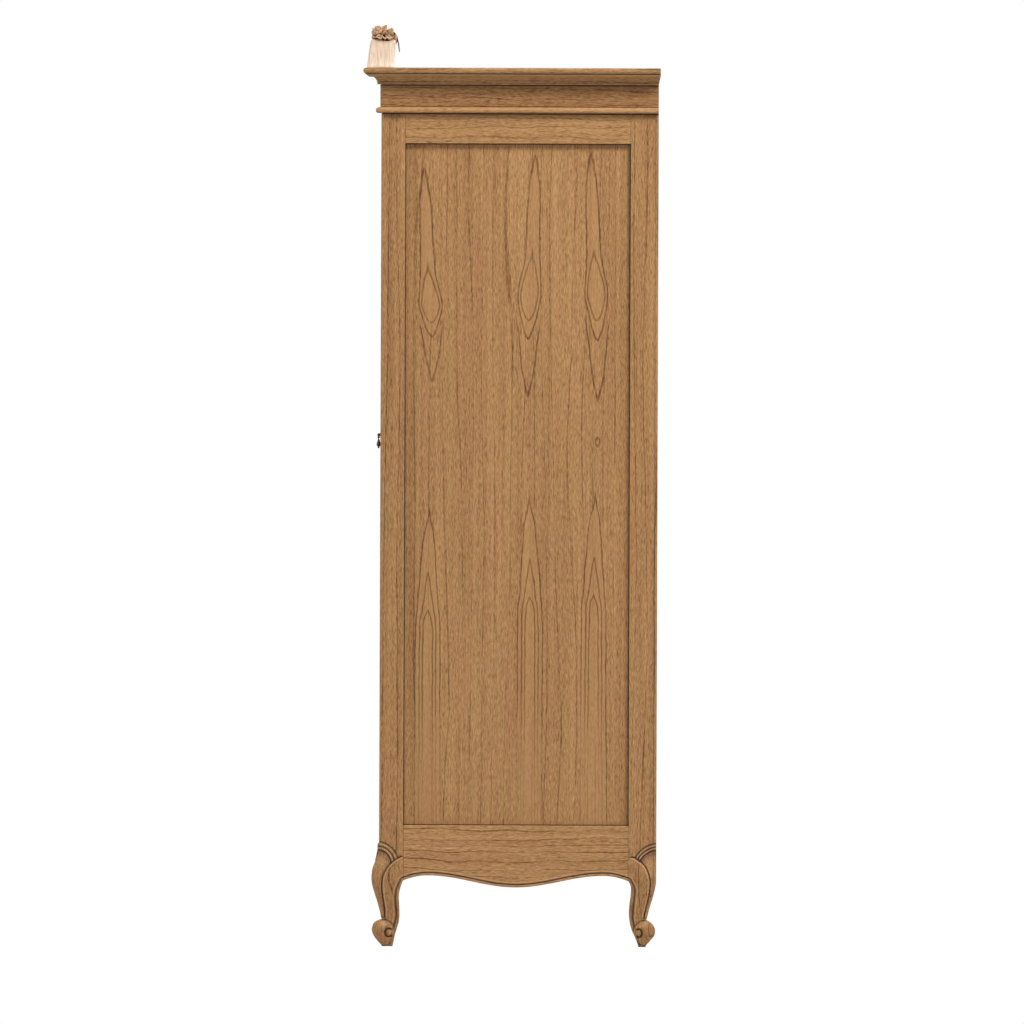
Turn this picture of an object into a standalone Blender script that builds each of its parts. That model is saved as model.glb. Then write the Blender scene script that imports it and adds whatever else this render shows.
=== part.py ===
"""A two-door wardrobe on scroll feet, in metres, with +Z up and its front towards -Y.

The origin is on the floor, under the middle of the roof board. Left and right are as seen by
someone who stands in front of the wardrobe, so left is -X.
"""

from math import cos, pi, sin

import bmesh
import bpy
from mathutils import Matrix, Vector

# Gaps and edges that every piece shares
CLEARANCE = 0.0003
EDGE_ROUND = 0.0008
FLAT_ANGLE = 0.001

# Body
BODY_WIDTH = 1.130
BODY_DEPTH = 0.582
BODY_TOP = 1.748
FRAME_THICKNESS = 0.024
PANEL_THICKNESS = 0.008
PANEL_RECESS = 0.010
GROOVE_DEPTH = 0.008

# Posts, each in one piece with its foot
POST_WIDTH = 0.050
FRONT_POST_DEPTH = 0.050
BACK_POST_DEPTH = 0.058
POST_CORNER = 0.006
CORNER_STEPS = 5
KNEE_TOP = 0.2215
BACK_FOOT_INSET = 0.015

# Each level of a foot: height, reach beyond the post's outer faces, width of the rounded corner
# band inside those faces, and how far the inner edge stays short of the post's inner face
FOOT_LEVELS = (
    (0.0000, -0.0020, 0.0080, 0.0235),
    (0.0025, -0.0005, 0.0080, 0.0232),
    (0.0100, 0.0047, 0.0060, 0.0220),
    (0.0205, 0.0117, 0.0040, 0.0190),
    (0.0310, 0.0157, 0.0030, 0.0155),
    (0.0415, 0.0158, 0.0040, 0.0118),
    (0.0505, 0.0101, 0.0080, 0.0098),
    (0.0545, 0.0015, 0.0105, 0.0088),
    (0.0565, -0.0046, 0.0109, 0.0086),
    (0.0625, -0.0037, 0.0108, 0.0080),
    (0.0800, -0.0003, 0.0095, 0.0082),
    (0.0970, 0.0050, 0.0070, 0.0092),
    (0.1145, 0.0112, 0.0045, 0.0084),
    (0.1320, 0.0165, 0.0038, 0.0038),
    (0.1420, 0.0180, 0.0045, 0.0000),
    (0.1620, 0.0174, 0.0115, 0.0000),
    (0.1775, 0.0131, 0.0240, 0.0000),
    (0.1915, 0.0070, 0.0300, 0.0000),
    (0.2020, 0.0050, 0.0300, 0.0000),
    (0.2175, 0.0041, 0.0300, 0.0000),
)

# Rails and aprons between the posts
OPENING_BOTTOM = 0.254
TOP_RAIL_HEIGHT = 0.063
APRON_END = 0.142
APRON_RISE = 0.150
SIDE_APRON_LOW = 0.1255
SIDE_APRON_SHOULDER = 0.052
FRONT_APRON_LOW = 0.108
FRONT_APRON_SHOULDER = 0.085
BACK_RAIL_BOTTOM = 0.150
APRON_STEPS = 24

# Boards inside the body
FLOOR_BOARD_TOP = 0.262
FLOOR_BOARD_THICKNESS = 0.018
HAT_SPACE_HEIGHT = 0.230
SHELF_THICKNESS = 0.018
SHELF_SETBACK = 0.070
CLEAT_THICKNESS = 0.020
CLEAT_HEIGHT = 0.100
CLEAT_FRONT_MARGIN = 0.060
HANGING_RAIL_RADIUS = 0.014
HANGING_RAIL_DROP = 0.060
HANGING_RAIL_SIDES = 24
SLOT_STEPS = 10

# Top board with its half-round edge, then frieze, cove and roof board
BEAD_REACH = 0.012
TOP_BOARD_THICKNESS = 0.013
FRIEZE_REACH = 0.0025
FRIEZE_THICKNESS = 0.020
FRIEZE_HEIGHT = 0.0464
COVE_HEIGHT = 0.0227
COVE_FILLET = 0.0040
COVE_FOOT_REACH = 0.0088
COVE_HEAD_REACH = 0.0168
COVE_HEAD_HEIGHT = 0.0025
COVE_FOOT_HEIGHT = 0.0015
COVE_STEPS = 5
ROOF_THICKNESS = 0.0125
CORNICE_REACH = 0.0375
ROOF_BACK_REACH = 0.004
ROOF_EDGE_ROUND = 0.0055

# Crest on the front of the roof board
CREST_WIDTH = 0.600
CREST_HEIGHT = 0.059
CREST_END_HEIGHT = 0.006
CREST_STEPS = 28
CREST_SETBACK = 0.0065
CREST_MOULDING_THICKNESS = 0.038
CREST_BOARD_THICKNESS = 0.022
CARVING_RISE = 0.0305
ROSE_RADII = (0.0170, 0.0115, 0.0165)
ROSE_FORWARD = 0.0030
LEAF_RADII = (0.0300, 0.0170, 0.0130)
LEAF_SPREAD = 0.036
CROWN_RADII = (0.0420, 0.0270, 0.0300)
CROWN_BACK = 0.0230
TAIL_RADII = (0.0160, 0.0060, 0.0300)

# Doors
DOOR_THICKNESS = 0.020
DOOR_SETBACK = 0.0065
DOOR_BOTTOM_GAP = 0.003
DOOR_TOP_GAP = 0.0025
MEETING_GAP = 0.003
STILE_WIDTH = 0.070
DOOR_TOP_RAIL = 0.085
DOOR_BOTTOM_RAIL = 0.095
FIELD_BORDER = 0.040
FIELD_RISE = 0.004

# Hinges, whose round knuckles stand in the front recess between a post and a door
LEAF_THICKNESS = 0.0012
LEAF_SPACING = 0.0006
LEAF_DEPTH = 0.018
KNUCKLE_RADIUS = 0.0028
KNUCKLE_HEIGHT = 0.030
HINGE_PIN_RADIUS = 0.0014
HINGE_PIN_LENGTH = 0.024
HINGE_ROOT = 0.006
HINGE_SIDES = 20
HINGE_END_MARGIN = 0.183

# Drop pulls
PULL_HEIGHT = 1.073
PULL_EDGE_MARGIN = 0.026
PLATE_WIDTH = 0.020
PLATE_HEIGHT = 0.052
PLATE_THICKNESS = 0.002
PLATE_ROUND = 0.006
PLATE_ABOVE_PIVOT = 0.012
EAR_THICKNESS = 0.0016
EAR_HEIGHT = 0.007
PULL_PIVOT_OUT = 0.0098
PULL_PIN_RADIUS = 0.0011
EYE_RADIUS = 0.0030
EYE_WIDTH = 0.0060
EYE_SIDE_PLAY = 0.0008
DROP_LENGTH = 0.0285
DROP_RADIUS = 0.0042
DROP_NECK_RADIUS = 0.0015
DROP_STEPS = 12
DROP_TURN_STEPS = 16

# Slide bolts on the back of the left door
BOLT_WIDTH = 0.008
BOLT_DEPTH = 0.005
BOLT_LENGTH = 0.090
BOLT_TRAVEL = 0.018
BOLT_END_GAP = 0.002
BOLT_EDGE_MARGIN = 0.020
CASE_WALL = 0.0025
CASE_LENGTH = 0.055
CASE_END_MARGIN = 0.015
BOLT_KNOB_RADIUS = 0.003
BOLT_KNOB_LENGTH = 0.009
BOLT_SLOT_WIDTH = 0.0068

# Catch behind the top rail for the right door
CATCH_WIDTH = 0.040
CATCH_DEPTH = 0.016
CATCH_RISE = 0.020
CATCH_DROP = 0.018
CATCH_FROM_MIDDLE = 0.060
CATCH_PLAY = 0.0005

# Worked out from the sizes above
HALF_WIDTH = BODY_WIDTH / 2
FRONT = -(CORNICE_REACH + BODY_DEPTH + ROOF_BACK_REACH) / 2 + CORNICE_REACH
BACK = FRONT + BODY_DEPTH
POST_INNER_X = HALF_WIDTH - POST_WIDTH
OPENING_TOP = BODY_TOP - TOP_RAIL_HEIGHT
SHELF_BOTTOM = BODY_TOP - HAT_SPACE_HEIGHT - SHELF_THICKNESS
SIDE_FRONT_Y = FRONT + FRONT_POST_DEPTH
SIDE_BACK_Y = BACK - BACK_POST_DEPTH
TOP_BOARD_BOTTOM = BODY_TOP + CLEARANCE
FRIEZE_BOTTOM = TOP_BOARD_BOTTOM + TOP_BOARD_THICKNESS + CLEARANCE
FRIEZE_TOP = FRIEZE_BOTTOM + FRIEZE_HEIGHT
COVE_BOTTOM = FRIEZE_TOP + CLEARANCE
COVE_TOP = COVE_BOTTOM + COVE_HEIGHT
ROOF_BOTTOM = COVE_TOP + CLEARANCE
CREST_BOTTOM = ROOF_BOTTOM + ROOF_THICKNESS + CLEARANCE
CARVING_TOP = CREST_BOTTOM + CREST_HEIGHT + CARVING_RISE
CREST_FRONT = FRONT - CORNICE_REACH + CREST_SETBACK
CREST_JOINT = CREST_FRONT + CREST_MOULDING_THICKNESS
CREST_BACK = CREST_JOINT + CLEARANCE + CREST_BOARD_THICKNESS
HINGE_GAP = CLEARANCE + LEAF_THICKNESS + LEAF_SPACING + LEAF_THICKNESS + CLEARANCE
HINGE_AXIS_X = POST_INNER_X - CLEARANCE - KNUCKLE_RADIUS
HINGE_AXIS_Y = FRONT + DOOR_SETBACK - CLEARANCE - KNUCKLE_RADIUS
DOOR_FRONT = FRONT + DOOR_SETBACK
DOOR_BACK = DOOR_FRONT + DOOR_THICKNESS
DOOR_BOTTOM = OPENING_BOTTOM + DOOR_BOTTOM_GAP
DOOR_TOP = OPENING_TOP - DOOR_TOP_GAP
DOOR_OUTER_X = POST_INNER_X - HINGE_GAP
DOOR_INNER_X = MEETING_GAP / 2
HANGING_RAIL_Z = SHELF_BOTTOM - HANGING_RAIL_DROP
HINGE_HEIGHTS = {"lower": DOOR_BOTTOM + HINGE_END_MARGIN, "upper": DOOR_TOP - HINGE_END_MARGIN}

# Finishes: colour, roughness, metallic
WOOD = ((0.40, 0.26, 0.14), 0.65, 0.0)
PALE_WOOD = ((0.66, 0.50, 0.34), 0.65, 0.0)
BRONZE = ((0.10, 0.08, 0.06), 0.45, 0.9)
STEEL = ((0.45, 0.43, 0.40), 0.40, 1.0)


def clear_scene():
    for thing in list(bpy.data.objects):
        bpy.data.objects.remove(thing, do_unlink=True)


def new_collection(name):
    collection = bpy.data.collections.new(name)
    bpy.context.scene.collection.children.link(collection)
    return collection


clear_scene()
PARTS = new_collection("wardrobe")
CUTTERS = new_collection("cutters")


def painted(thing, finish):
    """Gives the object its own material with this finish."""
    colour, roughness, metallic = finish
    material = bpy.data.materials.new(thing.name)
    material.use_nodes = True
    shader = material.node_tree.nodes["Principled BSDF"]
    shader.inputs["Base Color"].default_value = (*colour, 1.0)
    shader.inputs["Roughness"].default_value = roughness
    shader.inputs["Metallic"].default_value = metallic
    thing.data.materials.append(material)


def placed(name, data, origin, finish):
    """A new part at its origin, or a hidden cutter when it has no finish."""
    thing = bpy.data.objects.new(name, data)
    thing.location = origin
    if finish:
        PARTS.objects.link(thing)
        painted(thing, finish)
    else:
        CUTTERS.objects.link(thing)
        thing.hide_render = True
        thing.display_type = "WIRE"
    return thing


def mesh_of(name, form):
    bmesh.ops.recalc_face_normals(form, faces=form.faces)
    mesh = bpy.data.meshes.new(name)
    form.to_mesh(mesh)
    form.free()
    return mesh


def round_edges(thing, width):
    bevel = thing.modifiers.new("edges", "BEVEL")
    bevel.width = width
    bevel.segments = 1
    bevel.limit_method = "ANGLE"


def box(name, x, y, z, finish=None, edge=EDGE_ROUND):
    """A board or a block between pairs of limits along each axis."""
    size = Vector((x[1] - x[0], y[1] - y[0], z[1] - z[0]))
    middle = Vector((x[0] + x[1], y[0] + y[1], z[0] + z[1])) / 2
    form = bmesh.new()
    bmesh.ops.create_cube(form, size=1.0, matrix=Matrix.Diagonal((*size, 1.0)))
    thing = placed(name, mesh_of(name, form), middle, finish)
    if finish and edge:
        round_edges(thing, edge)
    return thing


def cylinder(name, middle, radius, length, axis, finish=None, sides=HINGE_SIDES):
    """A round bar about its middle, along the axis X, Y or Z."""
    form = bmesh.new()
    bmesh.ops.create_cone(
        form,
        cap_ends=True,
        segments=sides,
        radius1=radius,
        radius2=radius,
        depth=length,
        matrix=Vector((0, 0, 1)).rotation_difference(axis).to_matrix().to_4x4(),
    )
    return placed(name, mesh_of(name, form), middle, finish)


# The planes that a flat outline can lie in: its two directions, then the way it is made thick
PLANES = {
    "XY": Matrix(((1, 0, 0), (0, 1, 0), (0, 0, 1))),
    "XZ": Matrix(((1, 0, 0), (0, 0, -1), (0, 1, 0))),
    "YZ": Matrix(((0, 0, 1), (1, 0, 0), (0, 1, 0))),
}
THICK_AXIS = {"XY": 2, "XZ": 1, "YZ": 0}


def slab(name, outline, plane, low, high, finish=None):
    """A flat outline in a plane, made thick from low to high along the third axis."""
    curve = bpy.data.curves.new(name, "CURVE")
    curve.dimensions = "2D"
    curve.fill_mode = "BOTH"
    curve.extrude = (high - low) / 2
    line = curve.splines.new("POLY")
    line.points.add(len(outline) - 1)
    for point, (along, up) in zip(line.points, outline):
        point.co = (along, up, 0, 1)
    line.use_cyclic_u = True
    origin = Vector((0, 0, 0))
    origin[THICK_AXIS[plane]] = (low + high) / 2
    thing = placed(name, curve, origin, finish)
    thing.rotation_euler = PLANES[plane].to_euler()
    return thing


def meshed(thing, finish=None):
    """The same shape as a mesh with its caps welded, which a Boolean can cut or use."""
    bpy.context.view_layer.update()
    evaluated = thing.evaluated_get(bpy.context.evaluated_depsgraph_get())
    mesh = bpy.data.meshes.new_from_object(evaluated)
    mesh.materials.clear()
    mesh.transform(thing.matrix_world.to_3x3().to_4x4())
    form = bmesh.new()
    form.from_mesh(mesh)
    bmesh.ops.remove_doubles(form, verts=form.verts, dist=CLEARANCE / 30)
    bmesh.ops.dissolve_limit(form, angle_limit=FLAT_ANGLE, verts=form.verts, edges=form.edges)
    bpy.data.meshes.remove(mesh)
    name = thing.name
    origin = thing.location.copy()
    bpy.data.objects.remove(thing)
    return placed(name, mesh_of(name, form), origin, finish)


def boolean(thing, other, operation):
    modifier = thing.modifiers.new(operation.lower(), "BOOLEAN")
    modifier.operation = operation
    modifier.solver = "EXACT"
    modifier.object = other


def grown(limits, by=CLEARANCE):
    return limits[0] - by, limits[1] + by


def axis_point(name, place):
    """An empty on a joint's axis, which carries the pieces that turn about it."""
    empty = bpy.data.objects.new(name, None)
    empty.location = place
    empty.empty_display_size = 0.05
    PARTS.objects.link(empty)
    return empty


def carried(thing, axis):
    thing.parent = axis
    thing.location = thing.location - axis.location


def side_name(side):
    return "left" if side < 0 else "right"


def sided(side, near, far):
    """The pair of limits for distances from the middle, on this side of it."""
    return tuple(sorted((side * near, side * far)))


def foot_section(reach, band, inset, inner_x, inner_y):
    """One level of a foot, as distances in from the post's side face and its front or back face.

    A back foot is set in by its inset and never stands out past the back.
    """
    section = []
    radius = band + reach
    flush_x = max(-reach, 0.0)
    flush_y = max(inset - reach, 0.0)
    for step in range(CORNER_STEPS + 1):
        turn = step / CORNER_STEPS * pi / 2
        in_y = band + inset - radius * sin(turn)
        section.append((band - radius * cos(turn), max(in_y, 0.0) if inset else in_y))
    section.append((inner_x, flush_y))
    section.append((inner_x, inner_y))
    section.append((flush_x, inner_y))
    return section


def post(side, at_front):
    """A corner post that ends in a scroll foot, as a loft up its levels."""
    depth = FRONT_POST_DEPTH if at_front else BACK_POST_DEPTH
    levels = [*FOOT_LEVELS]
    levels += [(height, 0.0, POST_CORNER, 0.0) for height in (KNEE_TOP, BODY_TOP)]
    form = bmesh.new()
    rings = []
    for height, reach, band, short in levels:
        inset = 0.0
        if not at_front:
            inset = BACK_FOOT_INSET if short > 0 else max(reach, 0.0)
        section = foot_section(reach, band, inset, POST_WIDTH - short, depth - short)
        ring = []
        for in_x, in_y in section:
            x = side * (HALF_WIDTH - in_x)
            y = FRONT + in_y if at_front else BACK - in_y
            ring.append(form.verts.new((x, y, height)))
        rings.append(ring)
    for lower, upper in zip(rings, rings[1:]):
        for index in range(len(lower)):
            other = (index + 1) % len(lower)
            form.faces.new((lower[index], lower[other], upper[other], upper[index]))
    form.faces.new(rings[0])
    form.faces.new(rings[-1])
    name = f"{side_name(side)}_{'front' if at_front else 'back'}_post"
    return placed(name, mesh_of(name, form), (0, 0, 0), WOOD)


def apron_outline(low, high, lowest, shoulder):
    """An apron seen face on: straight above, and a double curve with a dropped middle below."""
    middle = (low + high) / 2
    reach = (high - low) / 2 - shoulder
    outline = [(low, OPENING_BOTTOM), (low, APRON_END)]
    for step in range(APRON_STEPS + 1):
        share = 2 * step / APRON_STEPS - 1
        drop = (1 + cos(pi * share)) / 2
        outline.append((middle + reach * share, APRON_RISE - (APRON_RISE - lowest) * drop))
    outline += [(high, APRON_END), (high, OPENING_BOTTOM)]
    return outline


def body_side(side, front_post, back_post):
    """The framed side: a rail, an apron and the panel in their grooves."""
    name = side_name(side)
    y = (SIDE_FRONT_Y + CLEARANCE, SIDE_BACK_Y - CLEARANCE)
    inner = HALF_WIDTH - FRAME_THICKNESS
    rail = box(
        f"{name}_side_rail",
        sided(side, inner, HALF_WIDTH),
        y,
        (OPENING_TOP, BODY_TOP),
        WOOD,
    )
    outline = apron_outline(*y, SIDE_APRON_LOW, SIDE_APRON_SHOULDER)
    x = sided(side, inner, HALF_WIDTH)
    apron = meshed(slab(f"{name}_side_apron", outline, "YZ", *x), WOOD)
    panel_outer = HALF_WIDTH - PANEL_RECESS
    panel_x = sided(side, panel_outer - PANEL_THICKNESS, panel_outer)
    panel_y = (SIDE_FRONT_Y - GROOVE_DEPTH, SIDE_BACK_Y + GROOVE_DEPTH)
    panel_z = (OPENING_BOTTOM - GROOVE_DEPTH, OPENING_TOP + GROOVE_DEPTH)
    box(f"{name}_side_panel", panel_x, panel_y, panel_z, WOOD)
    groove = box(f"{name}_side_groove", grown(panel_x), grown(panel_y), grown(panel_z))
    for piece in (rail, apron, front_post, back_post):
        boolean(piece, groove, "DIFFERENCE")


def body_back(back_posts):
    x = (-POST_INNER_X + CLEARANCE, POST_INNER_X - CLEARANCE)
    y = (BACK - FRAME_THICKNESS, BACK)
    top_rail = box("back_top_rail", x, y, (OPENING_TOP, BODY_TOP), WOOD)
    low_rail = box("back_bottom_rail", x, y, (BACK_RAIL_BOTTOM, OPENING_BOTTOM), WOOD)
    panel_x = (-POST_INNER_X - GROOVE_DEPTH, POST_INNER_X + GROOVE_DEPTH)
    panel_y = (BACK - PANEL_RECESS - PANEL_THICKNESS, BACK - PANEL_RECESS)
    panel_z = (OPENING_BOTTOM - GROOVE_DEPTH, OPENING_TOP + GROOVE_DEPTH)
    box("back_panel", panel_x, panel_y, panel_z, WOOD)
    groove = box("back_groove", grown(panel_x), grown(panel_y), grown(panel_z))
    for piece in (top_rail, low_rail, *back_posts):
        boolean(piece, groove, "DIFFERENCE")


def body_front():
    x = (-POST_INNER_X + CLEARANCE, POST_INNER_X - CLEARANCE)
    y = (FRONT, FRONT + FRAME_THICKNESS)
    box("front_top_rail", x, y, (OPENING_TOP, BODY_TOP), WOOD)
    outline = apron_outline(*x, FRONT_APRON_LOW, FRONT_APRON_SHOULDER)
    meshed(slab("front_apron", outline, "XZ", *y), WOOD)


def floor_board(bolt_hole):
    """The bottom of the hanging space, notched round the posts and high enough to stop the doors."""
    wide = HALF_WIDTH - FRAME_THICKNESS - CLEARANCE
    front = FRONT + max(FRAME_THICKNESS, DOOR_SETBACK + DOOR_THICKNESS) + CLEARANCE
    back = BACK - FRAME_THICKNESS - CLEARANCE
    z = (FLOOR_BOARD_TOP - FLOOR_BOARD_THICKNESS, FLOOR_BOARD_TOP)
    board = box("floor_board", (-wide, wide), (front, back), z, WOOD)
    for side in (-1, 1):
        notch_x = sided(side, POST_INNER_X - CLEARANCE, HALF_WIDTH)
        for place, notch_y in (
            ("front", (FRONT, SIDE_FRONT_Y + CLEARANCE)),
            ("back", (SIDE_BACK_Y - CLEARANCE, BACK)),
        ):
            notch_z = grown(z, FLOOR_BOARD_THICKNESS)
            notch = box(f"{side_name(side)}_{place}_notch", notch_x, notch_y, notch_z)
            boolean(board, notch, "DIFFERENCE")
    boolean(board, bolt_hole, "DIFFERENCE")


def cleat(side):
    """A side cleat that carries the shelf, with a slot open at its top for the hanging rail."""
    front = FRONT + CLEAT_FRONT_MARGIN
    back = SIDE_BACK_Y + BACK_POST_DEPTH / 2
    middle = (FRONT + BACK) / 2
    top = SHELF_BOTTOM - CLEARANCE
    radius = HANGING_RAIL_RADIUS + CLEARANCE
    outline = [(front, top), (front, top - CLEAT_HEIGHT), (back, top - CLEAT_HEIGHT), (back, top)]
    outline.append((middle + radius, top))
    for step in range(SLOT_STEPS + 1):
        turn = step / SLOT_STEPS * pi
        outline.append((middle + radius * cos(turn), HANGING_RAIL_Z - radius * sin(turn)))
    outline.append((middle - radius, top))
    outer = POST_INNER_X - CLEARANCE
    x = sided(side, outer - CLEAT_THICKNESS, outer)
    slab(f"{side_name(side)}_shelf_cleat", outline, "YZ", *x, WOOD)


def inside():
    for side in (-1, 1):
        cleat(side)
    x = (-POST_INNER_X + CLEARANCE, POST_INNER_X - CLEARANCE)
    back = BACK - PANEL_RECESS - PANEL_THICKNESS - CLEARANCE
    z = (SHELF_BOTTOM, SHELF_BOTTOM + SHELF_THICKNESS)
    box("hat_shelf", x, (FRONT + SHELF_SETBACK, back), z, WOOD)
    cylinder(
        "hanging_rail",
        (0, (FRONT + BACK) / 2, HANGING_RAIL_Z),
        HANGING_RAIL_RADIUS,
        x[1] - x[0],
        Vector((1, 0, 0)),
        WOOD,
        HANGING_RAIL_SIDES,
    )


def edged_board(name, reach, back_reach, bottom, thickness, rounding, steps, finish):
    """A board that stands out past the body, with its front and side edges rounded."""
    x = HALF_WIDTH + reach
    y = (FRONT - reach, BACK + back_reach)
    middle = Vector((0, (y[0] + y[1]) / 2, bottom + thickness / 2))
    size = (2 * x, y[1] - y[0], thickness, 1.0)
    form = bmesh.new()
    bmesh.ops.create_cube(form, size=1.0, matrix=Matrix.Diagonal(size))
    back_edge = size[1] / 2 - CLEARANCE
    moulded = [
        edge
        for edge in form.edges
        if abs(edge.verts[0].co.z - edge.verts[1].co.z) < CLEARANCE
        and min(vert.co.y for vert in edge.verts) < back_edge
    ]
    bmesh.ops.bevel(
        form, geom=moulded, offset=rounding, segments=steps, profile=0.5, affect="EDGES"
    )
    return placed(name, mesh_of(name, form), middle, finish)


def mitred(name, profile, side):
    """A moulding along the front (side 0) or one side, its front corners cut at 45 degrees.

    The profile's points are how far each stands out past the body, and its height.
    """
    form = bmesh.new()
    ends = []
    for end in (0, 1):
        ring = []
        for reach, height in profile:
            if side == 0:
                place = ((2 * end - 1) * (HALF_WIDTH + reach - CLEARANCE), FRONT - reach, height)
            else:
                y = BACK if end else FRONT - reach + CLEARANCE
                place = (side * (HALF_WIDTH + reach), y, height)
            ring.append(form.verts.new(place))
        ends.append(ring)
    for index in range(len(profile)):
        other = (index + 1) % len(profile)
        form.faces.new((ends[0][index], ends[0][other], ends[1][other], ends[1][index]))
    form.faces.new(ends[0])
    form.faces.new(ends[1])
    return placed(name, mesh_of(name, form), (0, 0, 0), WOOD)


def cornice():
    """The lift-off top: friezes, coves and a back rail under the roof board."""
    inner = FRIEZE_REACH - FRIEZE_THICKNESS
    frieze = [
        (inner, FRIEZE_BOTTOM),
        (FRIEZE_REACH, FRIEZE_BOTTOM),
        (FRIEZE_REACH, FRIEZE_TOP),
        (inner, FRIEZE_TOP),
    ]
    cove = [(inner, COVE_BOTTOM), (COVE_FILLET, COVE_BOTTOM)]
    low = COVE_BOTTOM + COVE_FOOT_HEIGHT
    high = COVE_TOP - COVE_HEAD_HEIGHT
    for step in range(COVE_STEPS + 1):
        turn = step / COVE_STEPS * pi / 2
        reach = COVE_FOOT_REACH + (COVE_HEAD_REACH - COVE_FOOT_REACH) * (1 - cos(turn))
        cove.append((reach, low + (high - low) * sin(turn)))
    cove += [(COVE_HEAD_REACH, COVE_TOP), (inner, COVE_TOP)]
    for side, name in ((-1, "left"), (0, "front"), (1, "right")):
        mitred(f"{name}_frieze", frieze, side)
        mitred(f"{name}_cove", cove, side)
    half = HALF_WIDTH + inner - CLEARANCE
    y = (BACK - FRIEZE_THICKNESS, BACK)
    box("cornice_back_rail", (-half, half), y, (FRIEZE_BOTTOM, COVE_TOP), WOOD)
    edged_board(
        "roof_board",
        CORNICE_REACH,
        ROOF_BACK_REACH,
        ROOF_BOTTOM,
        ROOF_THICKNESS,
        ROOF_EDGE_ROUND,
        2,
        WOOD,
    )


def crest_outline(grow=0.0):
    """The crest seen from the front: low ends that swell to a round middle."""
    half = CREST_WIDTH / 2
    low = CREST_BOTTOM - grow
    outline = [(half + grow, low)]
    for step in range(CREST_STEPS + 1):
        share = 1 - 2 * step / CREST_STEPS
        swell = (1 + cos(pi * share)) / 2
        height = CREST_END_HEIGHT + (CREST_HEIGHT - CREST_END_HEIGHT) * swell
        outline.append(((half + grow) * share, CREST_BOTTOM + height + grow))
    outline.append((-half - grow, low))
    return outline


def ball(name, middle, radii, finish=None):
    form = bmesh.new()
    bmesh.ops.create_uvsphere(
        form,
        u_segments=16,
        v_segments=10,
        radius=1.0,
        matrix=Matrix.Diagonal((*radii, 1.0)),
    )
    return placed(name, mesh_of(name, form), middle, finish)


def crest():
    outline = crest_outline()
    slab("crest_moulding", outline, "XZ", CREST_FRONT, CREST_JOINT, PALE_WOOD)
    slab("crest_board", outline, "XZ", CREST_JOINT + CLEARANCE, CREST_BACK, PALE_WOOD)
    crest_top = CREST_BOTTOM + CREST_HEIGHT
    crown_y = CREST_FRONT + CREST_MOULDING_THICKNESS / 2 + CROWN_BACK
    rose_y = CREST_FRONT + CREST_MOULDING_THICKNESS / 2 + ROSE_FORWARD
    crown_z = CARVING_TOP - CROWN_RADII[2]
    carving = ball("crest_carving", (0, crown_y, crown_z), CROWN_RADII, PALE_WOOD)
    rose = ball("rose", (0, rose_y, CARVING_TOP - ROSE_RADII[2]), ROSE_RADII)
    boolean(carving, rose, "UNION")
    for side in (-1, 1):
        place = (side * LEAF_SPREAD, rose_y + ROSE_RADII[1], crest_top + LEAF_RADII[2] / 3)
        leaf = ball(f"{side_name(side)}_leaf", place, LEAF_RADII)
        boolean(carving, leaf, "UNION")
    tail_place = (0, CREST_BACK + TAIL_RADII[1] / 2, crest_top - TAIL_RADII[2] / 3)
    tail = ball("tail", tail_place, TAIL_RADII)
    boolean(carving, tail, "UNION")
    seat_outline = crest_outline(CLEARANCE)
    seat_y = grown((CREST_FRONT, CREST_BACK))
    seat = meshed(slab("crest_seat", seat_outline, "XZ", *seat_y))
    boolean(carving, seat, "DIFFERENCE")


def fielded_panel(name, x, y, z):
    """A panel whose front face rises to a flat field inside a sloping border."""
    size = (x[1] - x[0], y[1] - y[0], z[1] - z[0], 1.0)
    middle = Vector((x[0] + x[1], y[0] + y[1], z[0] + z[1])) / 2
    form = bmesh.new()
    bmesh.ops.create_cube(form, size=1.0, matrix=Matrix.Diagonal(size))
    form.normal_update()
    face = next(face for face in form.faces if face.normal.y < -0.5)
    border = FIELD_BORDER / 2 + GROOVE_DEPTH
    bmesh.ops.inset_region(form, faces=[face], thickness=border, use_even_offset=True)
    bmesh.ops.inset_region(form, faces=[face], thickness=FIELD_BORDER / 2, use_even_offset=True)
    bmesh.ops.translate(form, verts=face.verts, vec=(0, -FIELD_RISE, 0))
    return placed(name, mesh_of(name, form), middle, WOOD)


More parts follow.
